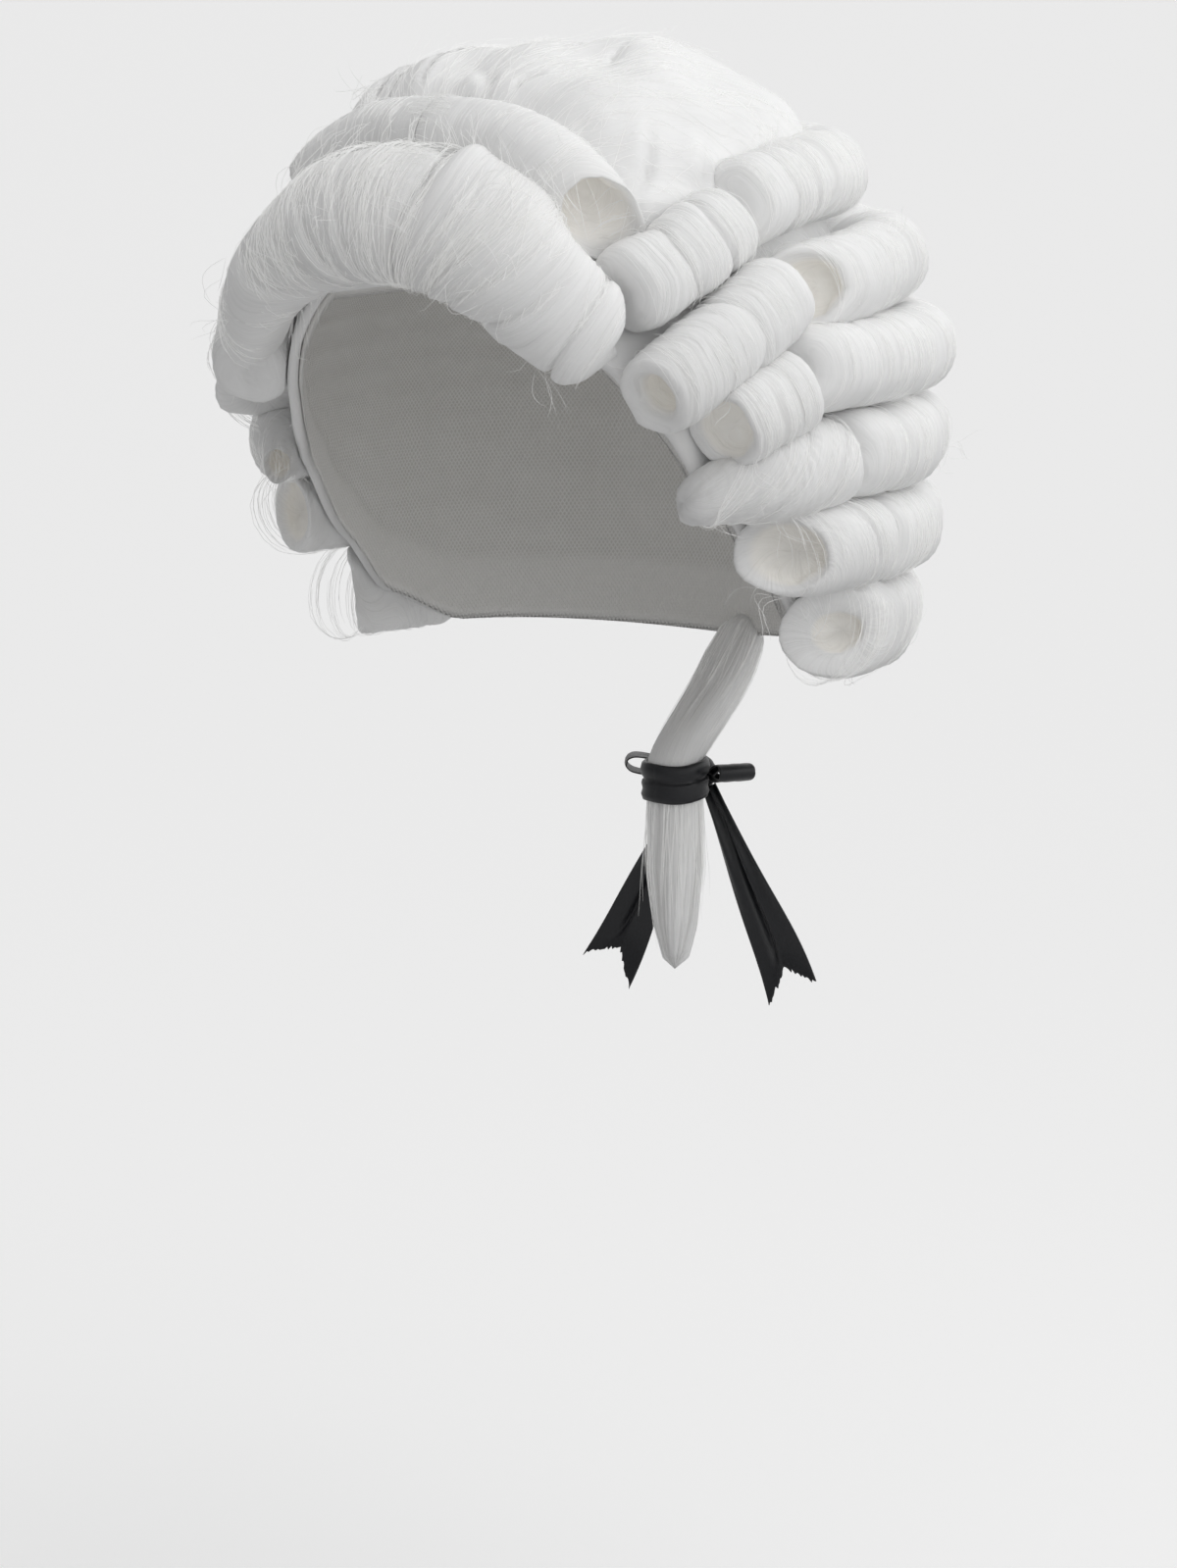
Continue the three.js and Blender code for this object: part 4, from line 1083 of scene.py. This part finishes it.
def strand_group():
    """Fine strands that follow the strand coordinates: their shade, height and gloss."""
    group = bpy.data.node_groups.new("hair_strands", "ShaderNodeTree")
    for way, sockets in (
        ("INPUT", (("Fineness", "Float"), ("Contrast", "Float"), ("Height", "Float"))),
        ("OUTPUT", (("Color", "Color"), ("Roughness", "Float"), ("Normal", "Vector"))),
    ):
        for name, kind in sockets:
            group.interface.new_socket(name, in_out=way, socket_type="NodeSocket" + kind)
    given = add(group, "NodeGroupInput")
    spot = add(group, "ShaderNodeUVMap", uv_map="strands")
    heights = []
    for scale, stretch, detail in ((2.4, 0.04, 2), (0.85, 0.025, 2), (0.28, 0.016, 3)):
        stretched = add(group, "ShaderNodeMapping", [("Vector", spot.outputs[0])],
                        scale=(scale, stretch, 1))
        fine = add(group, "ShaderNodeVectorMath", [(0, stretched.outputs[0])], operation="MULTIPLY")
        group.links.new(given.outputs["Fineness"], fine.inputs[1])
        heights.append(noise(group, fine.outputs[0], 1.0, detail, 0.6))
    strands = shared(group, heights[0], heights[1], 0.6)
    shade = shared(group, strands, heights[2], 0.1)
    centred = maths(group, "SUBTRACT", shade, 0.5)
    colour = grade(group, scaled(group, centred, given.outputs["Contrast"], 0.5), (
        (0.0, (0.83, 0.83, 0.827)), (0.35, (0.91, 0.91, 0.908)), (0.6, (0.94, 0.94, 0.937)),
        (1.0, (0.965, 0.965, 0.962))))
    bump = add(group, "ShaderNodeBump",
               [("Height", strands), ("Strength", given.outputs["Height"])], distance=0.0006)
    rough = scaled(group, centred, 0.5, 0.5)
    join(group, add(group, "NodeGroupOutput"),
         (("Color", colour), ("Roughness", rough), ("Normal", bump.outputs[0])))
    return group


def material(name, **values):
    """A material, with values for the sockets of its shader."""
    made = bpy.data.materials.new(name)
    made.use_nodes = True
    tree = made.node_tree
    tree.nodes.clear()
    shader = add(tree, "ShaderNodeBsdfPrincipled", **values)
    add(tree, "ShaderNodeOutputMaterial", [("Surface", shader.outputs[0])])
    return made, tree, shader


def hair_material(name, strands, fineness, contrast, height):
    """White hair with powder in it: cool where it is lit, with painted shade down in the grooves,
    and a painted warm shade and a painted glow down in the hollows.
    """
    made, tree, shader = material(
        name, emission_strength=1.0, specular_ior_level=0.4, subsurface_weight=0.5,
        subsurface_radius=(1, 1, 1), subsurface_scale=5 * MM)
    strand = add(tree, "ShaderNodeGroup", node_tree=strands)
    feed(tree, strand.inputs, (fineness, contrast, height))
    hollow = mask(tree, "hollow")
    # Painted shade: darker down in the grooves between strands.
    colour = mixed(tree, mask(tree, "groove"), strand.outputs["Color"], (0.86, 0.857, 0.852),
                   "MULTIPLY")
    # Painted shade: warmer and a little darker down in the hollows.
    colour = mixed(tree, hollow, colour, (1.0, 0.98, 0.945), "MULTIPLY")
    # Painted light: a glow in the hollows stands for the light that comes through the thin walls.
    through = mixed(tree, hollow, (0, 0, 0), (0.05, 0.047, 0.041))
    join(tree, shader, (
        ("Base Color", colour), ("Emission Color", through),
        ("Roughness", strand.outputs["Roughness"]), ("Normal", strand.outputs["Normal"])))
    return made


def single_hair_material():
    """A single white hair, made lighter than the mass by a painted glow that stands for the light
    that comes through it.
    """
    made, tree, shader = material("single_hair", roughness=0.35, emission_color=(1, 1, 0.98, 1),
                                  emission_strength=0.12)
    spot = add(tree, "ShaderNodeTexCoord").outputs["Object"]
    colour = grade(tree, noise(tree, spot, 90.0, 1.0), (
        (0.3, (0.93, 0.93, 0.92)), (0.7, (0.985, 0.985, 0.98))))
    join(tree, shader, [("Base Color", colour)])
    return made


def net_material():
    """White knotted net with sewn wefts, and a woven tape round the edge."""
    made, tree, shader = material("cap_net", roughness=0.85, specular_ior_level=0.25)
    spot = add(tree, "ShaderNodeUVMap", uv_map="strands").outputs[0]
    threads = []
    for turn in (45, -45):
        turned = add(tree, "ShaderNodeMapping", [("Vector", spot)],
                     rotation=(0, 0, math.radians(turn)))
        threads.append(add(tree, "ShaderNodeTexWave", [("Vector", turned.outputs[0])],
                           scale=0.33, distortion=0.6, detail=1.0).outputs[1])
    net = maths(tree, "POWER", maths(tree, "MAXIMUM", *threads), 3)
    shade = shared(tree, net, noise(tree, spot, 0.05, 3.0), 0.3)
    colour = grade(tree, shade, ((0, (0.7, 0.685, 0.65)), (0.4, (0.82, 0.81, 0.79)),
                                 (1, (0.92, 0.915, 0.9))))
    colour = mixed(tree, mask(tree, "hollow"), colour, (0.88, 0.87, 0.85))
    bump = add(tree, "ShaderNodeBump", [("Height", net)], strength=0.5, distance=0.0004)
    join(tree, shader, (("Base Color", colour), ("Normal", bump.outputs[0])))
    return made


def satin_material():
    """Black satin: floats along the ribbon, soft gloss across it."""
    made, tree, shader = material("ribbon_satin", sheen_weight=0.3, sheen_roughness=0.3)
    spot = add(tree, "ShaderNodeUVMap", uv_map="strands")
    thread = add(tree, "ShaderNodeMapping", [("Vector", spot.outputs[0])], scale=(5, 0.5, 1))
    floats = noise(tree, thread.outputs[0], 1.0, 2.0)
    colour = grade(tree, floats, ((0.2, (0.004, 0.0045, 0.006)), (0.8, (0.016, 0.017, 0.021))))
    bump = add(tree, "ShaderNodeBump", [("Height", floats)], strength=0.35, distance=0.0002)
    join(tree, shader, (("Base Color", colour), ("Roughness", scaled(tree, floats, 0.25, 0.24)),
                        ("Normal", bump.outputs[0])))
    return made


def finish_pieces():
    strands = strand_group()
    finishes = {
        ("curl", "front", "crown_roll", "queue"):
            hair_material("curled_hair", strands, 1.45, 2.4, 0.95),
        ("crown_hair",): hair_material("laid_hair", strands, 0.9, 0.7, 0.4),
        ("loose",): single_hair_material(),
        ("cap",): net_material(),
        ("ribbon", "bow"): satin_material(),
    }
    nodes = list(frame["nodes"].values())
    for made in bpy.context.scene.objects:
        for starts, finish in finishes.items():
            if made.type == "MESH" and made not in nodes and made.name.startswith(starts):
                made.data.materials.append(finish)


finish_pieces()


# ---- studio ---------------------------------------------------------------------------------

def studio():
    """A pale floor, and soft light from all round."""
    body = bmesh.new()
    bmesh.ops.create_grid(body, x_segments=2, y_segments=2, size=FLOOR_REACH)
    bmesh.ops.translate(body, verts=body.verts, vec=(0, 0, -FLOOR_DEPTH))
    mesh = bpy.data.meshes.new("studio_floor")
    body.to_mesh(mesh)
    body.free()
    floor = bpy.data.objects.new("studio_floor", mesh)
    bpy.context.scene.collection.objects.link(floor)
    # The paper is pale, and its light on the wig is weaker, as from a floor farther down.
    made, tree, shader = material("studio_paper", roughness=0.9, emission_color=(1, 1, 1, 1),
                                  emission_strength=0.05)
    seen = add(tree, "ShaderNodeLightPath").outputs[0]
    colour = mixed(tree, seen, (0.46, 0.46, 0.46), (0.98, 0.98, 0.98))
    join(tree, shader, [("Base Color", colour)])
    mesh.materials.append(made)

    # Soft light from all round, weakest from the left and strongest from the right and above.
    world = bpy.data.worlds.new("studio_light")
    bpy.context.scene.world = world
    world.use_nodes = True
    tree = world.node_tree
    toward = add(tree, "ShaderNodeTexCoord").outputs["Generated"]
    part = add(tree, "ShaderNodeVectorMath", [(0, toward)], operation="DOT_PRODUCT")
    part.inputs[1].default_value = (0.3, 0.3, 0.3)
    strength = maths(tree, "ADD", part.outputs["Value"], 0.535)
    # The backdrop itself shows in one even tone.
    even = add(tree, "ShaderNodeMix", [("Factor", add(tree, "ShaderNodeLightPath").outputs[0])])
    feed(tree, even.inputs[2:4], (strength, 0.83))
    feed(tree, tree.nodes["Background"].inputs, ((1, 1, 1), even.outputs[0]))
    key, side = bpy.data.lights.new("key_light", "SUN"), bpy.data.lights.new("side_light", "AREA")
    key.angle, key.energy = math.radians(40), 0.2
    side.size, side.energy = 0.5, 0.7
    for light, toward, distance in ((key, (0.45, 0.2, 0.85), 1), (side, (0.65, -0.12, 0.4), 0.75)):
        lamp = bpy.data.objects.new(light.name, light)
        toward = Vector(toward).normalized()
        lamp.location = MIDDLE + toward * distance
        lamp.rotation_euler = toward.to_track_quat("Z", "Y").to_euler()
        bpy.context.scene.collection.objects.link(lamp)
    bpy.context.scene.view_settings.view_transform = "Standard"


studio()
